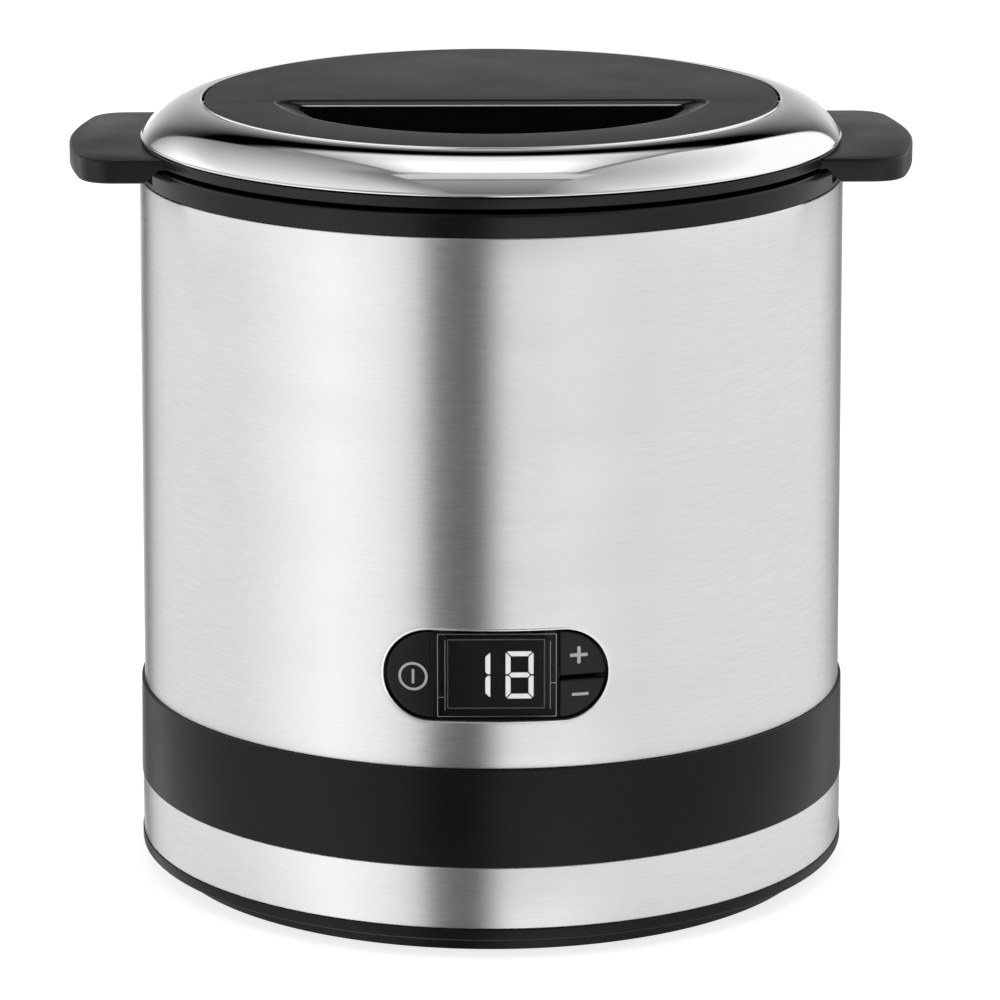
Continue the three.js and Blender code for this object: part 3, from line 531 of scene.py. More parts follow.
def cord_gland():
    low, high = corners("cord_gland")
    inner, outer = low.y, high.y
    profile = [(3.2, inner), (7, inner), (7, inner + 1.4), (5, inner + 1.4), (5, outer), (3.2, outer)]
    gland = lathe("gland_bush", rounded(profile, [0.4, 0.5, 0.3, 0.2, 0.7, 0.7]), 64)
    turn(gland, (-math.pi / 2, 0, 0), (0, 0, GLAND_Z))
    return dress(gland, RUBBER, "base", "rubber", "cord_gland")


def stadium_reach(x, z, grow):
    """How far the ray through (x, z) from the panel's centre goes, as a share, to the stadium's edge."""
    length = math.hypot(x, z)
    across, up = abs(x) / length, abs(z) / length
    radius = PANEL_HEIGHT / 2 + grow
    half = (PANEL_WIDTH - PANEL_HEIGHT) / 2
    if up > 0 and radius / up * across <= half:
        return radius / up / length
    return (half * across + math.sqrt(radius ** 2 - (half * up) ** 2)) / length


def upper_steel_shell():
    """The drum's sheet, with rolled edges and a rounded edge round the panel's cut-out."""
    low, high = corners("upper_steel_shell")
    bottom_r, top_r = high.x, 74.3
    top_z = high.z + PAN_GAP - SEAM  # the sheet reaches up to the rim
    roll, edge = 0.28, 0.35
    span, reach = 25, 16  # the patch round the cut-out, in columns each way and in height each way

    def radius_at(height):
        return bottom_r + (top_r - bottom_r) * (height - low.z) / (top_z - low.z)

    patch = [PANEL_Z - reach + step for step in range(2 * reach + 1)]
    above = [patch[-1] + (top_z - roll - patch[-1]) * step / 12 for step in range(1, 13)]
    heights = [low.z + roll, *patch, *above]
    lip = arc((0, 0), 1, 0, 90, 4)[1:]
    outer = [(radius_at(z), z) for z in heights]
    top = [(radius_at(top_z) - roll + roll * a, top_z - roll + roll * b) for a, b in lip]
    inner = [(r - SHEET, z) for r, z in reversed(outer)]
    bottom = [(radius_at(low.z) - roll + roll * b, low.z + roll - roll * a) for a, b in [(1, 0), *lip[:-1]]]
    profile = outer + top + inner + bottom

    verts, faces = [], []
    for radius, height in profile:
        for column in range(ROUND):
            angle = math.radians(column - 90)
            verts.append((radius * math.cos(angle), radius * math.sin(angle), height))

    def index(row, column):
        return row * ROUND + column % ROUND

    first, last = 1, len(patch)
    mirrored = [len(outer) + len(top) + len(outer) - 1 - row for row in (first, last)]
    for row in range(len(profile)):
        after = (row + 1) % len(profile)
        in_rows = first <= row < last or mirrored[1] <= row < mirrored[0]
        for column in range(-ROUND // 2, ROUND // 2):
            if in_rows and -span <= column < span:
                continue
            here = [index(row, column), index(row, column + 1)]
            faces.append([*here, index(after, column + 1), index(after, column)])

    def border(rows):
        """The patch's edge as point numbers, anticlockwise from its lower left."""
        start, end = rows
        step = 1 if end > start else -1
        path = [index(start, column) for column in range(-span, span)]
        path += [index(row, span) for row in range(start, end, step)]
        path += [index(end, column) for column in range(span, -span, -1)]
        path += [index(row, -span) for row in range(end, start, -step)]
        return path

    outside, inside = border((first, last)), border(mirrored)
    flat = [(verts[number][0], verts[number][2]) for number in outside]

    def loop(share, grow, thickness, depth=0.0):
        """A loop between the cut-out's edge, at share 0, and the patch's edge, at share 1."""
        points = []
        for x, z in flat:
            up = z - PANEL_Z
            hole = stadium_reach(x, up, grow)
            scale = hole + (1 - hole) * share
            here, height = x * scale, PANEL_Z + up * scale
            radius = radius_at(height) - thickness
            points.append((here, -math.sqrt(radius ** 2 - here ** 2) + depth, height))
        return points

    loops = [loop(share, edge, 0) for share in (0.75, 0.5, 0.28, 0.1, 0.0)]
    loops += [loop(0, edge * side, 0, edge * drop) for drop, side in quarter(5)[1:]]
    loops += [loop(share, 0, SHEET) for share in (0.0, 0.5)]
    rows = [outside]
    for points in loops:
        rows.append(list(range(len(verts), len(verts) + len(points))))
        verts += points
    rows.append(inside)
    for lower, upper in zip(rows, rows[1:]):
        faces += bridge(lower, upper)
    shell = make("upper_steel_skin", verts, faces)
    return dress(shell, STEEL, "base", "brushed_steel", "upper_steel_shell")


def cutout_edge():
    """The bright bevel that borders the cut-out, as a fine ring set in the drum's sheet."""
    half_w, half_h = PANEL_WIDTH / 2, PANEL_HEIGHT / 2
    square = [(-half_w, -half_h), (half_w, -half_h), (half_w, half_h), (-half_w, half_h)]
    ends = rounded(square, [half_h] * 4, 40)
    outline = []
    for index, point in enumerate(ends):
        onward = Vector(ends[(index + 1) % len(ends)]) - Vector(point)
        parts = max(1, round(onward.length / 0.8))
        outline += [tuple(Vector(point) + onward * step / parts) for step in range(parts)]
    section = [(0.02, -0.4), (0.02, -0.04), (0.08, 0.02), (0.34, 0.03), (0.42, -0.02), (0.42, -0.4)]
    loops = []
    for grow, rise in section:
        loops.append([on_drum(x, z, DRUM_AT_PANEL + rise) for x, z in inset(outline, -grow)])
    return dress(loft("cutout_edge", loops, True), BEVEL_STEEL, "base", "brushed_steel")


def inner_housing():
    """The well and the rim that the lid stands on, with a notch at each side."""
    low, high = corners("inner_housing")
    rim_r = high.x
    rim_z = corners("upper_steel_shell")[1].z + 0.3
    top = high.z
    profile = [
        (5.3, low.z), (8, low.z), (8, 50.5), (64.2, 50.5), (64.2, 147.2), (71.4, 147.2), (71.4, 142),
        (73.1, 142), (73.1, rim_z), (rim_r, rim_z), (rim_r, top), (64.2, top), (62.4, top - 2),
        (62.4, 52.5), (8, 52.5), (8, 54), (5.3, 54),
    ]
    radii = [0.2, 0.4, 0.4, 3, 1, 0.4, 0.4, 0.4, 0.2, 0.12, 0.6, 1.2, 1.2, 3, 0.6, 0.4, 0.2]
    housing = lathe("housing_rim", rounded(profile, radii))
    right = block("notch", (NOTCH_X, -NOTCH_HALF, NOTCH_Z), (90, NOTCH_HALF, 160))
    left = block("notch", (-90, -NOTCH_HALF, NOTCH_Z), (-NOTCH_X, NOTCH_HALF, 160))
    cut(housing, right, left)
    return dress(housing, BLACK, "base", "black_plastic", "inner_housing")


# ---- Control panel -----------------------------------------------------------------------------


def on_drum(x, z, radius):
    """A point on the panel's curved face, from its place across and up."""
    return (x, -math.sqrt(radius ** 2 - x ** 2), PANEL_Z + z)


def pad(name, outline, back, edge=0.35):
    """A key or a pane: straight sides, a rounded edge and a face that follows the drum."""
    loops = [[(x, back, PANEL_Z + z) for x, z in outline]]
    for side, drop in quarter(5):
        loops.append([on_drum(x, z, KEY_FACE - edge * drop) for x, z in inset(outline, edge * side)])
    face = inset(outline, edge)
    middle = Vector((sum(x for x, _ in face), sum(z for _, z in face))) / len(face)
    for share in (0.85, 0.65, 0.4, 0.18):
        scaled = [middle + (Vector(point) - middle) * share for point in face]
        loops.append([on_drum(x, z, KEY_FACE) for x, z in scaled])
    loops.append([on_drum(middle.x, middle.y, KEY_FACE)])
    return loft(name, loops)


def key_outline(node, side, low, high):
    """The part of the stadium's end that a key fills, anticlockwise."""
    box_low, box_high = corners(node)
    inner = box_high.x if side < 0 else box_low.x
    centre = side * (PANEL_WIDTH - PANEL_HEIGHT) / 2
    start = math.degrees(math.asin(max(-1, low / KEY_RADIUS)))
    end = math.degrees(math.asin(min(1, high / KEY_RADIUS)))
    curve = arc((centre, 0), KEY_RADIUS, start, end, 40)
    points = [(inner, low), *curve, (inner, high)]
    radii = [0.45, 0.45, *[0] * (len(curve) - 2), 0.45, 0.45]
    if side < 0:
        last = len(points) - 1
        points = [(2 * centre - x, z) if 0 < n < last else (x, z) for n, (x, z) in enumerate(points)]
        points, radii = points[::-1], radii[::-1]
    return rounded(points, radii)


def keys():
    back = corners("power_button")[1].y
    fields = {
        "power": (-1, -KEY_RADIUS, KEY_RADIUS),
        "plus": (1, -0.3, KEY_RADIUS),
        "minus": (1, -KEY_RADIUS, -1.2),
    }
    stems = {"power": (-17, 0), "plus": (16.4, 4.8), "minus": (16.4, -4.8)}
    for name, (side, low, high) in fields.items():
        node = f"{name}_button"
        key = pad(f"{name}_cap", key_outline(node, side, low, high), -70.4)
        stem_x, stem_z = stems[name]
        stem = cylinders("stem", [(0, 0)], 1.5, -back, 71)
        join(key, turn(stem, (math.pi / 2, 0, 0), (stem_x, 0, PANEL_Z + stem_z)))
        dress(key, GLOSS, f"{name}_key", "gloss_black_plastic", node)


def raised(name, outlines, height=0.04):
    """Marks printed on the panel's face, one for each outer outline and its inner one or None."""
    verts, faces = [], []
    for outer, inner in outlines:
        sheets = [(outer, -height), (outer, height)]
        if inner:
            sheets += [(inner, height), (inner, -height)]
        rows = []
        for outline, rise in sheets:
            rows.append(list(range(len(verts), len(verts) + len(outline))))
            verts += [on_drum(x, z, KEY_FACE + rise) for x, z in outline]
        pairs = zip(rows, rows[1:] + rows[:1]) if inner else zip(rows, rows[1:])
        for lower, upper in pairs:
            faces += bridge(lower, upper)
        if not inner:
            faces += [rows[0], rows[1]]
    return make(name, verts, faces)


def bar(x, z, width, height):
    """A bar with rounded ends, split along its length so that it follows the drum."""
    half_w, half_h = width / 2, height / 2
    cuts = 6
    lower = [(x - half_w + width * n / cuts, z - half_h) for n in range(cuts + 1)]
    upper = [(x + half_w - width * n / cuts, z + half_h) for n in range(cuts + 1)]
    end = min(half_w, half_h) * 0.5
    radii = [end, *[0] * (cuts - 1), end] * 2
    return rounded(lower + upper, radii)


def symbols():
    circle, stroke, power_x, power_z = 2.7, 0.26, -16.8, -0.45
    outer = arc((power_x, power_z), circle + stroke, 0, 354, 59)
    inner = arc((power_x, power_z), circle - stroke, 0, 354, 59)
    power = raised("power_mark", [(outer, inner), (bar(power_x, power_z, 0.52, 3.0), None)])
    dress(power, MARK, "power_key", "gloss_black_plastic")
    plus_x, plus_z, span, stroke = 16.75, 3.9, 3.6, 0.7
    arm = (span - stroke) / 2
    cross = []
    half = stroke / 2
    for quarter_turn in range(4):
        a = math.pi / 2 * quarter_turn
        for u, v in ((half, -half), (half + arm, -half), (half + arm, half)):
            x = plus_x + u * math.cos(a) - v * math.sin(a)
            z = plus_z + u * math.sin(a) + v * math.cos(a)
            cross.append((x, z))
    plus = raised("plus_mark", [(rounded(cross, [0, 0.2, 0.2] * 4), None)])
    dress(plus, MARK, "plus_key", "gloss_black_plastic")
    minus = raised("minus_mark", [(bar(17.05, -4.35, 3.4, 0.6), None)])
    dress(minus, MARK, "minus_key", "gloss_black_plastic")


def rectangle(left, right, low, high, radius):
    return rounded([(left, low), (right, low), (right, high), (left, high)], [radius] * 4)


def facing(outline, y, up=0.0):
    """An outline in X and Z, raised by up, at one place along Y."""
    return [(x, y, up + z) for x, z in outline]


def pane_point(x, z, sink=0.0):
    """A point on the window's face, which is flatter than the drum."""
    curve, crown = 400, 73.75
    return (x, curve - crown + sink - math.sqrt(curve ** 2 - x ** 2), PANEL_Z + z)


def window_pane():
    """The clear block: a face flatter than the drum, straight sides, and a pocket for the display."""
    low, high = corners("display_window")
    left, right = low.x + 0.05, high.x - 0.05
    half = KEY_RADIUS
    back, edge, wall = high.y, 0.4, 1.5
    roof = corners("display_module")[0].y - 0.06
    outline = rectangle(left, right, -half, half, 0.5)
    pocket = rectangle(left + wall, right - wall, -half + wall, half - wall, 0.5)

    face = inset(outline, edge)
    middle = Vector(((left + right) / 2, 0))
    loops = [[pane_point(middle.x, 0)]]
    for share in (0.2, 0.4, 0.6, 0.8):
        loops.append([pane_point(*(middle + (Vector(p) - middle) * share)) for p in face])
    for side, drop in reversed(quarter(5)):
        loops.append([pane_point(x, z, edge * drop) for x, z in inset(outline, edge * side)])
    rear = [
        (outline, back - 0.15), (inset(outline, 0.15), back), (inset(pocket, -0.15), back),
        (pocket, back - 0.15), (pocket, roof),
    ]
    pane = loft("window_pane", loops + [facing(shape, y, PANEL_Z) for shape, y in rear])
    return dress(pane, WINDOW, "base", "display_window", "display_window")


def window_glints():
    """Painted highlights: fine light lines on the window's face where the edges of the clear block and of its
    pocket catch the light, and a light grey ring round the display that is a painted highlight on its edge.
    """
    low, high = corners("display_window")
    left, right, half = low.x + 0.35, high.x - 0.35, KEY_RADIUS - 0.35
    lines = [
        (left, 0, 0.14, 2 * half), (left + 1.5, 0, 0.10, 2 * half - 2.4), (right, 0, 0.12, 2 * half),
        (right - 1.2, 0, 0.10, 2 * half - 3), (right - 0.6, -1.6, 1.0, 0.14), (left + 0.7, -4.6, 1.2, 0.10),
        ((left + right) / 2, half, right - left, 0.08), ((left + right) / 2, -half, right - left, 0.10),
    ]
    for number, line in enumerate(lines, 1):
        shape = bar(*line)
        loops = [[pane_point(x, z, sink) for x, z in shape] for sink in (0.02, -0.02)]
        dress(loft(f"window_glint_{number}", loops), GLINT, "base", "display_window")
    # A light grey ring round the display screen: a painted highlight where the display's edge catches the
    # light.
    low, high = corners("display_module")
    outer = rectangle(low.x + 0.1, high.x - 0.1, low.z + 0.1, high.z - 0.1, 0.2)
    inner = rectangle(low.x + 0.32, high.x - 0.32, low.z + 0.32, high.z - 0.32, 0.06)
    levels = [(outer, 0.02), (outer, -0.03), (inner, -0.03), (inner, 0.02)]
    edge_highlight = loft("display_edge_highlight", [facing(shape, low.y + sink) for shape, sink in levels], True)
    dress(edge_highlight, EDGE_HIGHLIGHT, "base", "gloss_black_plastic")


def display_module():
    """The display's case, with a raised edge round the screen."""
    low, high = corners("display_module")
    front, back = low.y, high.y
    rim, sink = 0.45, 0.25

    def outline(depth):
        return rectangle(low.x + depth, high.x - depth, low.z + depth, high.z - depth, max(0.06, 0.3 - depth))

    levels = [
        (0, back), (0, front + 0.15), (0.15, front), (rim - 0.1, front),
        (rim, front + 0.1), (rim, front + sink),
    ]
    case = loft("display_case", [facing(outline(depth), y) for depth, y in levels])
    return dress(case, SCREEN, "base", "gloss_black_plastic", "display_module")


def segments(lit, left, width, height, stroke, gap):
    """The lit segments of one digit, as outlines in X and Z. The names go from a, at the top, to g."""
    top, right = height / 2, left + width
    mid = stroke / 2

    def level(z, inward):
        near, far, inner = left + gap, right - gap, z + inward
        return [(near, z), (far, z), (far - stroke, inner), (near + stroke, inner)]

    def upright(x, inward, sign):
        return [
            (x, sign * (top - gap)), (x, sign * gap), (x + inward * 0.5, sign * gap),
            (x + inward, sign * (mid + gap)), (x + inward, sign * (top - gap - stroke)),
        ]

    middle = [
        (left + mid + gap, 0), (left + stroke + gap, -mid), (right - stroke - gap, -mid),
        (right - mid - gap, 0), (right - stroke - gap, mid), (left + stroke + gap, mid),
    ]
    shapes = {
        "a": level(top, -stroke), "d": level(-top, stroke), "g": middle,
        "b": upright(right, -stroke, 1), "c": upright(right, -stroke, -1),
        "f": upright(left, stroke, 1), "e": upright(left, stroke, -1),
    }
    return [shapes[name] for name in lit]


def digits():
    screen = corners("display_module")[0].y + 0.25
    middle = PANEL_Z - 0.3
    width, height, stroke, gap, pitch = 5.65, 9.9, 1.0, 0.19, 8.75
    left = 1.93
    outlines = segments("bc", left - pitch, width, height, stroke, gap)
    outlines += segments("abcdefg", left, width, height, stroke, gap)
    for number, outline in enumerate(outlines, 1):
        shape = rounded(outline, [0.12] * len(outline), 3)
        loops = [facing(shape, y, middle) for y in (screen + 0.02, screen - 0.08)]
        dress(loft(f"segment_{number}", loops), LIT, "base", "gloss_black_plastic")


# ---- Lid and paddle ----------------------------------------------------------------------------

MOUTH = (45.8, -5.4, 2.9)  # radius of the arc, the straight back edge, and the corners
THROAT = (41.5, -6.9, 2.2)
THROAT_DEPTH = 2.6
CHUTE_Z = 153.4
LINING = 0.25  # thickness of the slot's glossy skin


def half_moon(shape, grow=0.0):
    """An arc about the axis closed by a straight back edge, with rounded corners, anticlockwise."""
    radius, back, corner = (value + grow for value in shape)
    x = math.sqrt((radius - corner) ** 2 - (back - corner) ** 2)
    y = back - corner
    tip = math.degrees(math.atan2(y, x))
    straight = [(x - 2 * x * n / 30, back) for n in range(1, 30)]
    left = arc((-x, y), corner, 90, 180 - tip, 12)
    sweep = arc((0, 0), radius, 180 - tip, 360 + tip, 180)[1:-1]
    right = arc((x, y), corner, tip, 90, 12)
    return right + straight + left + sweep


def at(outline, height):
    return [(x, y, height) for x, y in outline]


def lug_outline(side):
    reach = corners("lid_body")[1].x
    half = 28.8

    def bend(start, control, end, steps=14):
        weights = [step / steps for step in range(1, steps + 1)]
        return [
            tuple((1 - t) ** 2 * s + 2 * t * (1 - t) * c + t * t * e for s, c, e in zip(start, control, end))
            for t in weights
        ]

    shoulder, tip = (reach - 2.9, 22), (reach, 0)
    quarter_path = bend((78, half), (reach - 4.4, half), shoulder) + bend(shoulder, (reach, 9), tip)
    upper = [(60, half), (78, half), *quarter_path]
    points = [(x, -y) for x, y in upper[:-1]] + upper[::-1]
    if side < 0:
        points = [(-x, y) for x, y in reversed(points)]
    return points


def lug_clearance(sign):
    """The room that the drum's rim takes under a lug, beside the notch in the rim."""
    radius, near = 74.4, 22.3
    start = math.degrees(math.asin(near / radius))
    outline = arc((0, 0), radius, start, 180 - start, 60)
    if sign < 0:
        outline = [(x, -y) for x, y in reversed(outline)]
    return slab("clearance", outline, 140, 155)


def lid_body():
    low, high = corners("lid_body")
    skirt_r, skirt_z, plate_top = high.y, 155.3, high.z
    lug_low, lug_high = 152.15, 157.2
    root_x, heel_x, root_z = 68.9, 72.0, 155
    plate = [
        (0, skirt_z), (59.6, skirt_z), (59.6, 150.2), (61.6, 150.2), (61.6, skirt_z),
        (skirt_r, skirt_z), (skirt_r, plate_top), (0, plate_top),
    ]
    lid = lathe("lid_base", rounded(plate, [0, 0.5, 0.6, 0.6, 0.5, 0.4, 0.3, 0]))
    for side in (-1, 1):
        lug = slab("lug", lug_outline(side), lug_low, lug_high, 0.7, 4)
        relief = [(50, 140), (heel_x, 140), (heel_x, lug_low), (root_x, root_z), (50, root_z)]
        wedge = [(side * x, z) for x, z in relief]
        loops = [facing(wedge, y) for y in (-40, 40)]
        cut(lug, loft("relief", loops), lug_clearance(-1), lug_clearance(1))
        join(lid, lug)
    join(lid, block("stub", (-3.2, -3.2, low.z), (3.2, 3.2, skirt_z + 0.5)))
    opening = half_moon(MOUTH, 2.0)
    cut(lid, loft("opening", [at(opening, 140), at(opening, 170)]))
    return dress(lid, LID_BLACK, "lid", "black_plastic", "lid_body")


def chrome_ring():
    """A domed trim: part of a quarter ellipse, rolled at its foot, with a fine lip round the insert."""
    low, high = corners("chrome_ring")
    inner, outer, base, top = 61.2, high.x, low.z, 165.2
    sink, sheet, roll = 7.2, 1.3, 0.2
    lip_r, lip_z = 60.9, 165.55

    def curve(reach, rise, steps):
        tall = rise + sink
        start = math.asin(sink / tall)
        width = reach / math.cos(start)
        turns = [start + (math.pi / 2 - start) * step / steps for step in range(steps + 1)]
        return [(inner + width * math.cos(t), base - sink + tall * math.sin(t)) for t in turns]

    dome = curve(outer - inner, top - base, 64)[:-1]
    tilt = math.degrees(math.atan2(dome[1][0] - dome[0][0], dome[1][1] - dome[0][1]))
    centre = (outer - roll, base + roll)
    dome = [point for point in dome if point[1] > base + 1.2 * roll]
    hem = arc(centre, roll, -90, -tilt, 6)
    lip = [
        (inner + 0.05, top + 0.02), (inner, top + 0.1), (inner - 0.02, lip_z - 0.12),
        (inner - 0.1, lip_z - 0.02), (lip_r + 0.1, lip_z), (lip_r, lip_z - 0.1),
    ]
    under = curve(outer - inner - sheet, top - base - sheet, 12)[::-1]
    trim = lathe("chrome_trim_ring", hem + dome + lip + under, crease=60)
    return dress(trim, CHROME, "lid", "chrome_trim", "chrome_ring")


def lid_insert():
    """The cap with the slot's collar and chute under it."""
    high = corners("lid_insert")[1]
    top, radius = high.z, high.x
    base = corners("chrome_ring")[0].z
    wall = 1.6
    inside = radius - wall
    cup = [(0, top - 2), (inside, top - 2), (inside, base), (radius, base), (radius, top), (0, top)]
    insert = lathe("insert_cap", rounded(cup, [0, 0.8, 0.3, 0.3, 0.45, 0]))
    collar = loft("collar", [at(half_moon(MOUTH, wall), z) for z in (top - THROAT_DEPTH - wall, top - 0.5)])
    chute = loft("chute", [at(half_moon(THROAT, wall), z) for z in (CHUTE_Z, top - THROAT_DEPTH)])
    join(insert, collar, chute)
    loops = slot_loops(top, LINING)
    loops.insert(0, [(x, y, z + 3) for x, y, z in loops[0]])
    loops.append([(x, y, 140) for x, y, z in loops[-1]])
    cut(insert, loft("opening", loops))
    return dress(insert, MATTE, "lid", "matte_black_plastic", "lid_insert")


def throat_z(top, y):
    """The slope round the slot is shallow at the back and deepens to the front."""
    return top - (1.05 + 0.040 * (THROAT[1] - y))


def slot_loops(top, grow):
    """The slot's wall from its rounded lip down the slope and the chute, moved outwards by grow."""
    lip, knee = 0.35, 0.25
    loops = [at(half_moon(MOUTH, grow + lip * side), top - lip * drop) for drop, side in quarter(4)]
    for share in (0.85, 0.93, 1.0):
        loop = []
        for (mx, my), (tx, ty) in zip(half_moon(MOUTH, grow), half_moon(THROAT, grow)):
            drop = (top - lip - throat_z(top, ty)) * share + knee * max(0, share - 0.9)
            loop.append((mx + (tx - mx) * share, my + (ty - my) * share, top - lip - drop))
        loops.append(loop)
    throat = half_moon(THROAT, grow)
    loops.append([(x, y, throat_z(top, y) - 2 * knee) for x, y in throat])
    loops.append(at(throat, CHUTE_Z + 0.2))
    return loops


def slot_lining():
    """Glossy skin of the slot, and a light grey rod where the back slope meets the chute, a painted highlight
    along that edge.
    """
    top = corners("lid_insert")[1].z
    lining = loft("slot_lining", slot_loops(top, 0) + slot_loops(top, LINING)[::-1], True)
    dress(lining, BLACK, "lid", "matte_black_plastic")
    # A thin light grey rod along the slot's back edge: a painted highlight, not a part of its own.
    half, radius = 40.0, 0.16
    lip = turn(cylinders("slot_lip_highlight", [(0, 0)], radius, -half, half), (0, math.pi / 2, 0))
    turn(lip, (0, 0, 0), (0, THROAT[1] + 0.05, throat_z(top, THROAT[1]) - 0.05))
    dress(lip, LIP_HIGHLIGHT, "lid", "matte_black_plastic")


def paddle():
    """A flat frame with two windows, hung by a socket."""
    low, high = corners("paddle")
    reach, bottom, half = high.x, low.z, 2.5
    shoulder, neck, rail, stile = 122, 132, 7, 6
    frame_points = [
        (-reach + 8, bottom), (reach - 8, bottom), (reach, bottom + 8), (reach, shoulder - 6),
        (reach - 6, shoulder), (7, neck), (-7, neck), (-reach + 6, shoulder), (-reach, shoulder - 6),
        (-reach, bottom + 8),
    ]
    outline = rounded(frame_points, [5, 5, 5, 4, 6, 3, 3, 6, 4, 5])
    upright = (math.pi / 2, 0, 0)
    blade = turn(slab("paddle_blade", outline, -half, half, 0.9), upright)
    for side in (-1, 1):
        hole = [
            (stile, bottom + rail), (reach - 11, bottom + rail), (reach - rail, bottom + 11),
            (reach - rail, shoulder - 9), (reach - 10, shoulder - 6.5), (stile, neck - 8),
        ]
        points = [(side * x, z) for x, z in hole][::side]
        window = slab("window", rounded(points, [2, 3, 3, 2, 3, 2]), -2 * half, 2 * half)
        cut(blade, turn(window, upright))
    boss = [(0, neck - 8), (7.5, neck - 8), (7.5, high.z), (0, high.z)]
    join(blade, lathe("boss", rounded(boss, [0, 1, 0.8, 0]), 64))
    cut(blade, block("socket", (-3.6, -3.6, 137), (3.6, 3.6, 160)))
    bevel(blade, 0.5, 2, 50)
    return dress(blade, BOWL_WHITE, "paddle", "bowl_plastic", "paddle")


# ---- Freezer bowl ------------------------------------------------------------------------------


def bowl():
    low, high = corners("bowl_outer")
    outer, inner, roof = high.x, high.x - 1.8, 63.8
    shell = [
        (0, roof), (18.8, roof), (18.8, low.z), (outer - 4, low.z), (outer, low.z + 4), (outer, high.z),
        (inner, high.z), (inner, low.z + 4.8), (inner - 3, low.z + 1.8), (20.6, low.z + 1.8),
        (20.6, roof + 1.8), (0, roof + 1.8),
    ]
    radii = [0, 0.5, 1, 4, 4, 0.4, 0.4, 3, 3, 1, 1, 0]
    shell_piece = lathe("bowl_shell", rounded(shell, radii))
    dress(shell_piece, BOWL_WHITE, "bowl", "bowl_plastic", "bowl_outer")

    low, high = corners("bowl_liner")
    bore, sheet, flange = 50.5, 1.2, high.x
    floor = low.z
    liner = [
        (0, floor), (bore + sheet - 4, floor), (bore + sheet, floor + 4), (bore + sheet, high.z - 1),
        (flange, high.z - 1), (flange, high.z), (bore, high.z), (bore, floor + sheet + 3.5),
        (bore - 3.5, floor + sheet), (0, floor + sheet),
    ]
    liner_piece = lathe("liner_cup", rounded(liner, [0, 4, 4, 0.5, 0.3, 0.3, 0.8, 3.5, 3.5, 0]))
    dress(liner_piece, ALUMINIUM, "bowl", "aluminium", "bowl_liner")

    low, high = corners("bowl_rim")
    outer, inner = high.x, 50.6
    rim = [(inner, low.z), (outer, low.z), (outer, high.z), (inner, high.z)]
    rim_piece = lathe("rim_trim", rounded(rim, [0.3, 0.3, 0.9, 0.9]))
    dress(rim_piece, BOWL_WHITE, "bowl", "bowl_plastic", "bowl_rim")


# ---- Carried-over CAD nodes --------------------------------------------------------------------

KEPT = {
    MATTE: ["panel_frame", "gearbox_cover", "drive_hub", "drive_socket"],
    GEL: ["cooling_gel"],
    ACETAL: ["idler_gear", "spindle_gear"],
    BRONZE: ["lower_bush", "upper_bush", "motor_pinion"],
    BOARD: ["power_board", "terminal_block", "control_board"],
    TAPE: ["transformer"],
    GLOSS: ["capacitor", "motor_lead_1"],
    GREY_LEAD: ["ribbon_lead"],
    RED_LEAD: ["motor_lead_2"],
}


def keep_nodes():
    """Puts a finish on every CAD node that still shows, and rounds its edges."""
    chosen = {name: material for material, names in KEPT.items() for name in names}
    for name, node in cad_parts.items():
        if node.hide_render:
            continue
        node.data.materials.clear()
        node.data.materials.append(chosen.get(name, ZINC))
        edge = node.modifiers.new("edge", "BEVEL")
        edge.width = 0.2 * MM
        edge.segments = 2
        edge.limit_method = "ANGLE"
        edge.angle_limit = math.radians(50)


# ---- Studio ------------------------------------------------------------------------------------

# Levels of what stands round the table.
FLAG = 0.15
SOFTBOX = 1.0
HOT = 1.6  # the middle of a softbox
BACK_LIGHT = 2.0

# What the drum mirrors by azimuth in degrees, from the back over the left, the front and the right.
SURROUND = [
    (-180, BACK_LIGHT), (-170, BACK_LIGHT), (-160, FLAG), (-155, FLAG), (-145, SOFTBOX), (-90, SOFTBOX),
    (-55, HOT), (-25, SOFTBOX), (-20, FLAG), (-5, FLAG), (5, HOT), (25, HOT), (50, SOFTBOX),
    (135, SOFTBOX), (160, FLAG), (170, SOFTBOX), (180, SOFTBOX),
]


def camera():
    """The photographer's place: in front, a little to the left and above."""
    data = bpy.data.cameras.new("camera")
    data.lens = 184.39
    data.sensor_width = 36
    item = bpy.data.objects.new("camera", data)
    swing = math.radians(-0.85)
    item.location = Matrix.Rotation(swing, 4, "Z") @ Vector((0.00187, -1.0676, 0.350))
    item.rotation_euler = (math.radians(75.6795), 0, swing)
    bpy.context.scene.collection.objects.link(item)
    bpy.context.scene.camera = item


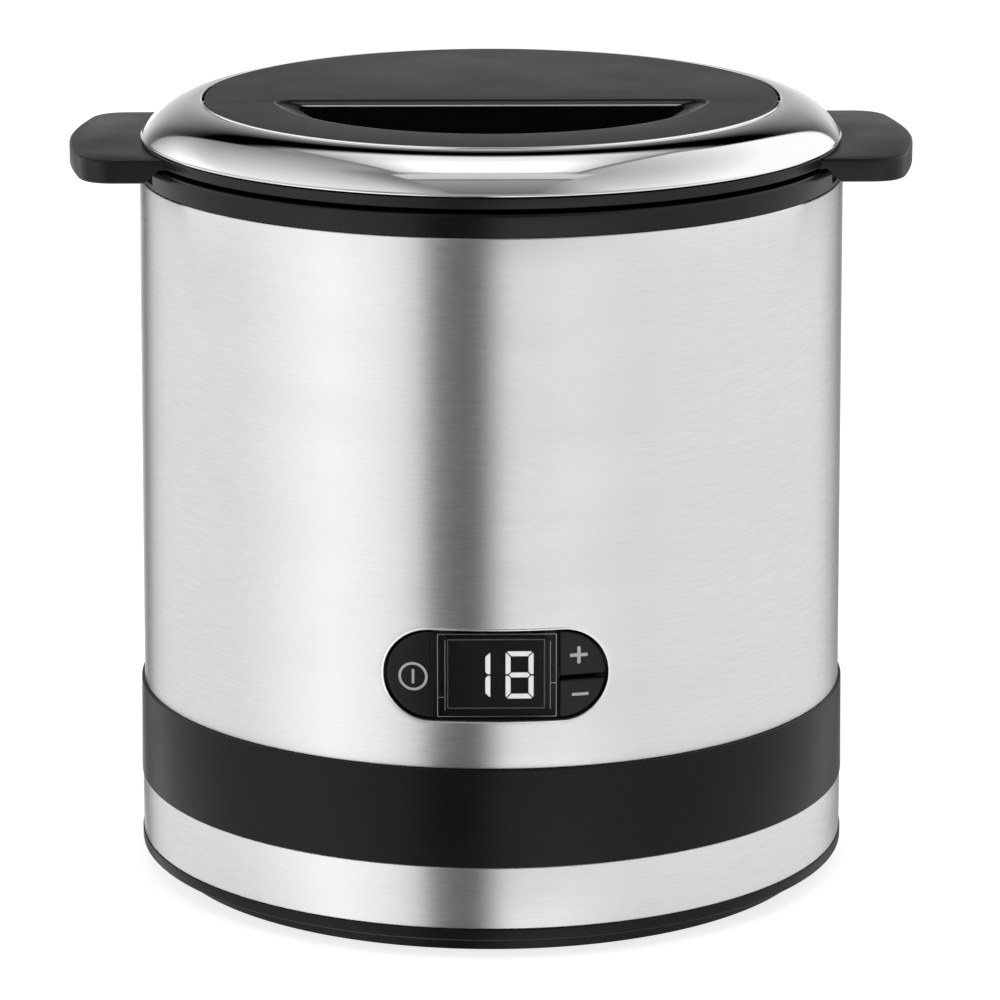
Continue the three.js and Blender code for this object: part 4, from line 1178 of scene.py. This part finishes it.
def studio():
    """White to the camera; to reflections, softboxes at the sides and overhead round dark flags."""
    world = bpy.data.worlds.new("studio")
    world.use_nodes = True
    bpy.context.scene.world = world
    nodes = Nodes(world.node_tree)
    direction = nodes.add("ShaderNodeTexCoord").outputs["Generated"]
    axes = nodes.add("ShaderNodeSeparateXYZ", {0: direction}).outputs
    x, y, z = axes[0], axes[1], axes[2]
    ahead = nodes.math("MULTIPLY", y, -1.0)
    aside = nodes.math("ABSOLUTE", x)
    azimuth = nodes.math("ARCTAN2", x, ahead)

    def levels(value, stops):
        """Brightness by value, straight between the stops."""
        ramp = nodes.add("ShaderNodeValToRGB", {"Fac": value})
        marks = ramp.color_ramp.elements
        while len(marks) < len(stops):
            marks.new(0.5)
        for mark, (place, _) in zip(marks, stops):
            mark.position = place
        for mark, (_, level) in zip(marks, stops):
            mark.color = (level, level, level, 1)
        return nodes.add("ShaderNodeRGBToBW", {0: ramp.outputs["Color"]}).outputs[0]

    def plane(a, b, c):
        """a x + b ahead + c z"""
        part = nodes.math("MULTIPLY_ADD", x, a, nodes.math("MULTIPLY", ahead, b))
        return nodes.math("MULTIPLY_ADD", z, c, part)

    def edge(value, soft):
        return nodes.step(value, -soft, soft)

    def least(*values):
        result = values[0]
        for value in values[1:]:
            result = nodes.math("MINIMUM", result, value)
        return result

    share = nodes.math("MULTIPLY_ADD", azimuth, 0.5 / math.pi, 0.5)
    drum = levels(share, [(degrees / 360 + 0.5, level) for degrees, level in SURROUND])

    # In front, between the softboxes: grey that lightens upwards, with a dark seam near the top.
    climb = nodes.math("ARCTAN2", z, ahead)
    gap = levels(nodes.math("DIVIDE", climb, math.pi / 2), [
        (0.0, 0.2), (0.6, 0.2), (0.85, 0.4), (0.88, 0.4),
        (0.885, FLAG), (0.9, FLAG), (0.905, 0.7), (1.0, 0.8),
    ])

    # Behind, from the table up: a bright wall that darkens to a flag under the overhead softbox.
    wall = levels(z, [(0.0, SOFTBOX), (0.25, 0.4), (0.5, 0.0)])
    turned = nodes.math("ABSOLUTE", azimuth)
    rear = nodes.step(turned, math.radians(152), math.radians(165), 0.3, 1.0)
    wall = nodes.math("MULTIPLY", wall, rear)
    behind = nodes.step(y, 0.0, 0.06)
    level = nodes.mix(behind, gap, wall)
    over = nodes.math("MULTIPLY", nodes.step(plane(0, 1, 1), -0.10, 0.12), nodes.step(y, -0.02, 0.13))
    above = nodes.step(z, 0.8, 0.95, 1.1, 1.6)
    core = nodes.math("MULTIPLY", above, nodes.step(aside, 0.1, 0.35, 1.0, 0.3))
    level = nodes.mix(over, level, core)

    # The side softboxes, each bounded by its inner, top and back edges, with a dark seam over the top one.
    left_inner = nodes.math("MAXIMUM", y, least(plane(-1, 0.124, -0.321), plane(-1, -0.44, 0.25)))
    left_top, left_back = plane(-3.397, 0.4566, -1), plane(-1, 0.577, 0.04)
    left = least(edge(left_inner, 0.012), edge(left_top, 0.02), edge(left_back, 0.02))
    right_inner = nodes.math("MAXIMUM", y, least(plane(1, 0.224, -0.334), plane(1, -0.16, 0.05)))
    right_top, right_back = plane(3.637, 0.529, -1), plane(1, 0.52, 0.02)
    right = least(edge(right_inner, 0.012), edge(right_top, 0.02), edge(right_back, 0.02))
    near_left = nodes.math("COMPARE", left_top, -0.05, 0.06)
    near_right = nodes.math("COMPARE", right_top, -0.05, 0.06)
    seam = nodes.math("MULTIPLY", nodes.math("MAXIMUM", near_left, near_right), nodes.step(y, -0.02, 0.05))
    level = nodes.mix(nodes.math("MULTIPLY", seam, nodes.step(plane(0, 1, 1), 0.0, 0.05)), level, 0.3)

    # Each fades with height; the left one also fades towards the back, and the right one towards the gap.
    from_back = nodes.math("MAXIMUM", left_back, 0.0)
    spread = levels(z, [(0.0, 2.0), (0.35, 2.0), (0.5, 0.8), (0.8, 0.6), (1.0, 0.2)])
    left_level = nodes.math("MULTIPLY_ADD", spread, from_back, nodes.step(z, 0.45, 0.6, 0.3, 0.2))
    left_level = nodes.math("MINIMUM", nodes.math("MULTIPLY", left_level, 1.4), 1.4)
    left_level = nodes.math("MULTIPLY", left_level, nodes.step(left_inner, 0.0, 0.22, 0.55, 1.0))
    right_level = levels(z, [(0.0, 1.3), (0.6, 1.3), (1.0, 0.4)])
    near_gap = nodes.step(azimuth, math.radians(10), math.radians(58), 0.22, 1.0)
    level = nodes.mix(left, level, left_level)
    level = nodes.mix(right, level, nodes.math("MULTIPLY", right_level, near_gap))
    level = nodes.mix(nodes.step(z, -0.05, 0.03), drum, level)

    sight = nodes.add("ShaderNodeLightPath").outputs["Is Camera Ray"]
    lit = nodes.add("ShaderNodeBackground", {"Strength": level})
    plain = nodes.add("ShaderNodeBackground", {"Color": (1, 1, 1, 1), "Strength": 1.0})
    shown = nodes.add("ShaderNodeMixShader", {0: sight, 1: lit.outputs[0], 2: plain.outputs[0]})
    nodes.add("ShaderNodeOutputWorld", {"Surface": shown.outputs[0]})
    bpy.context.scene.view_settings.view_transform = "Standard"


def floor():
    """A pale table. Reflections don't see it, so that the drum mirrors the studio."""
    half = 2500
    corner_points = [(-half, -half, 0), (half, -half, 0), (half, half, 0), (-half, half, 0)]
    table = make("floor", corner_points, [[0, 1, 2, 3]])
    material, nodes, shader = surface("pale_floor")
    grain = nodes.noise((60, 60, 60), 3.0)
    fill(nodes, shader, Base_Color=nodes.tint(grain, (0.42, 0.42, 0.42), 0.02), Roughness=0.8)
    fill(nodes, shader, Emission_Color=(1, 1, 1, 1), Emission_Strength=0.78)
    table.data.materials.append(material)
    table.visible_glossy = False


def fill_light():
    """A broad light overhead that reflections don't see. It whitens the table."""
    data = bpy.data.lights.new("overhead", "AREA")
    data.shape = "DISK"
    data.size = 1.6
    data.energy = 6.0
    item = bpy.data.objects.new("overhead", data)
    item.location = (0, 0, 1.3)
    item.visible_glossy = False
    bpy.context.scene.collection.objects.link(item)


camera()
base_pan()
rubber_feet()
base_screws()
lower_steel_band()
black_band()
cord_gland()
upper_steel_shell()
cutout_edge()
inner_housing()
keys()
symbols()
window_pane()
window_glints()
display_module()
digits()
lid_body()
chrome_ring()
lid_insert()
slot_lining()
paddle()
bowl()
keep_nodes()
studio()
floor()
fill_light()
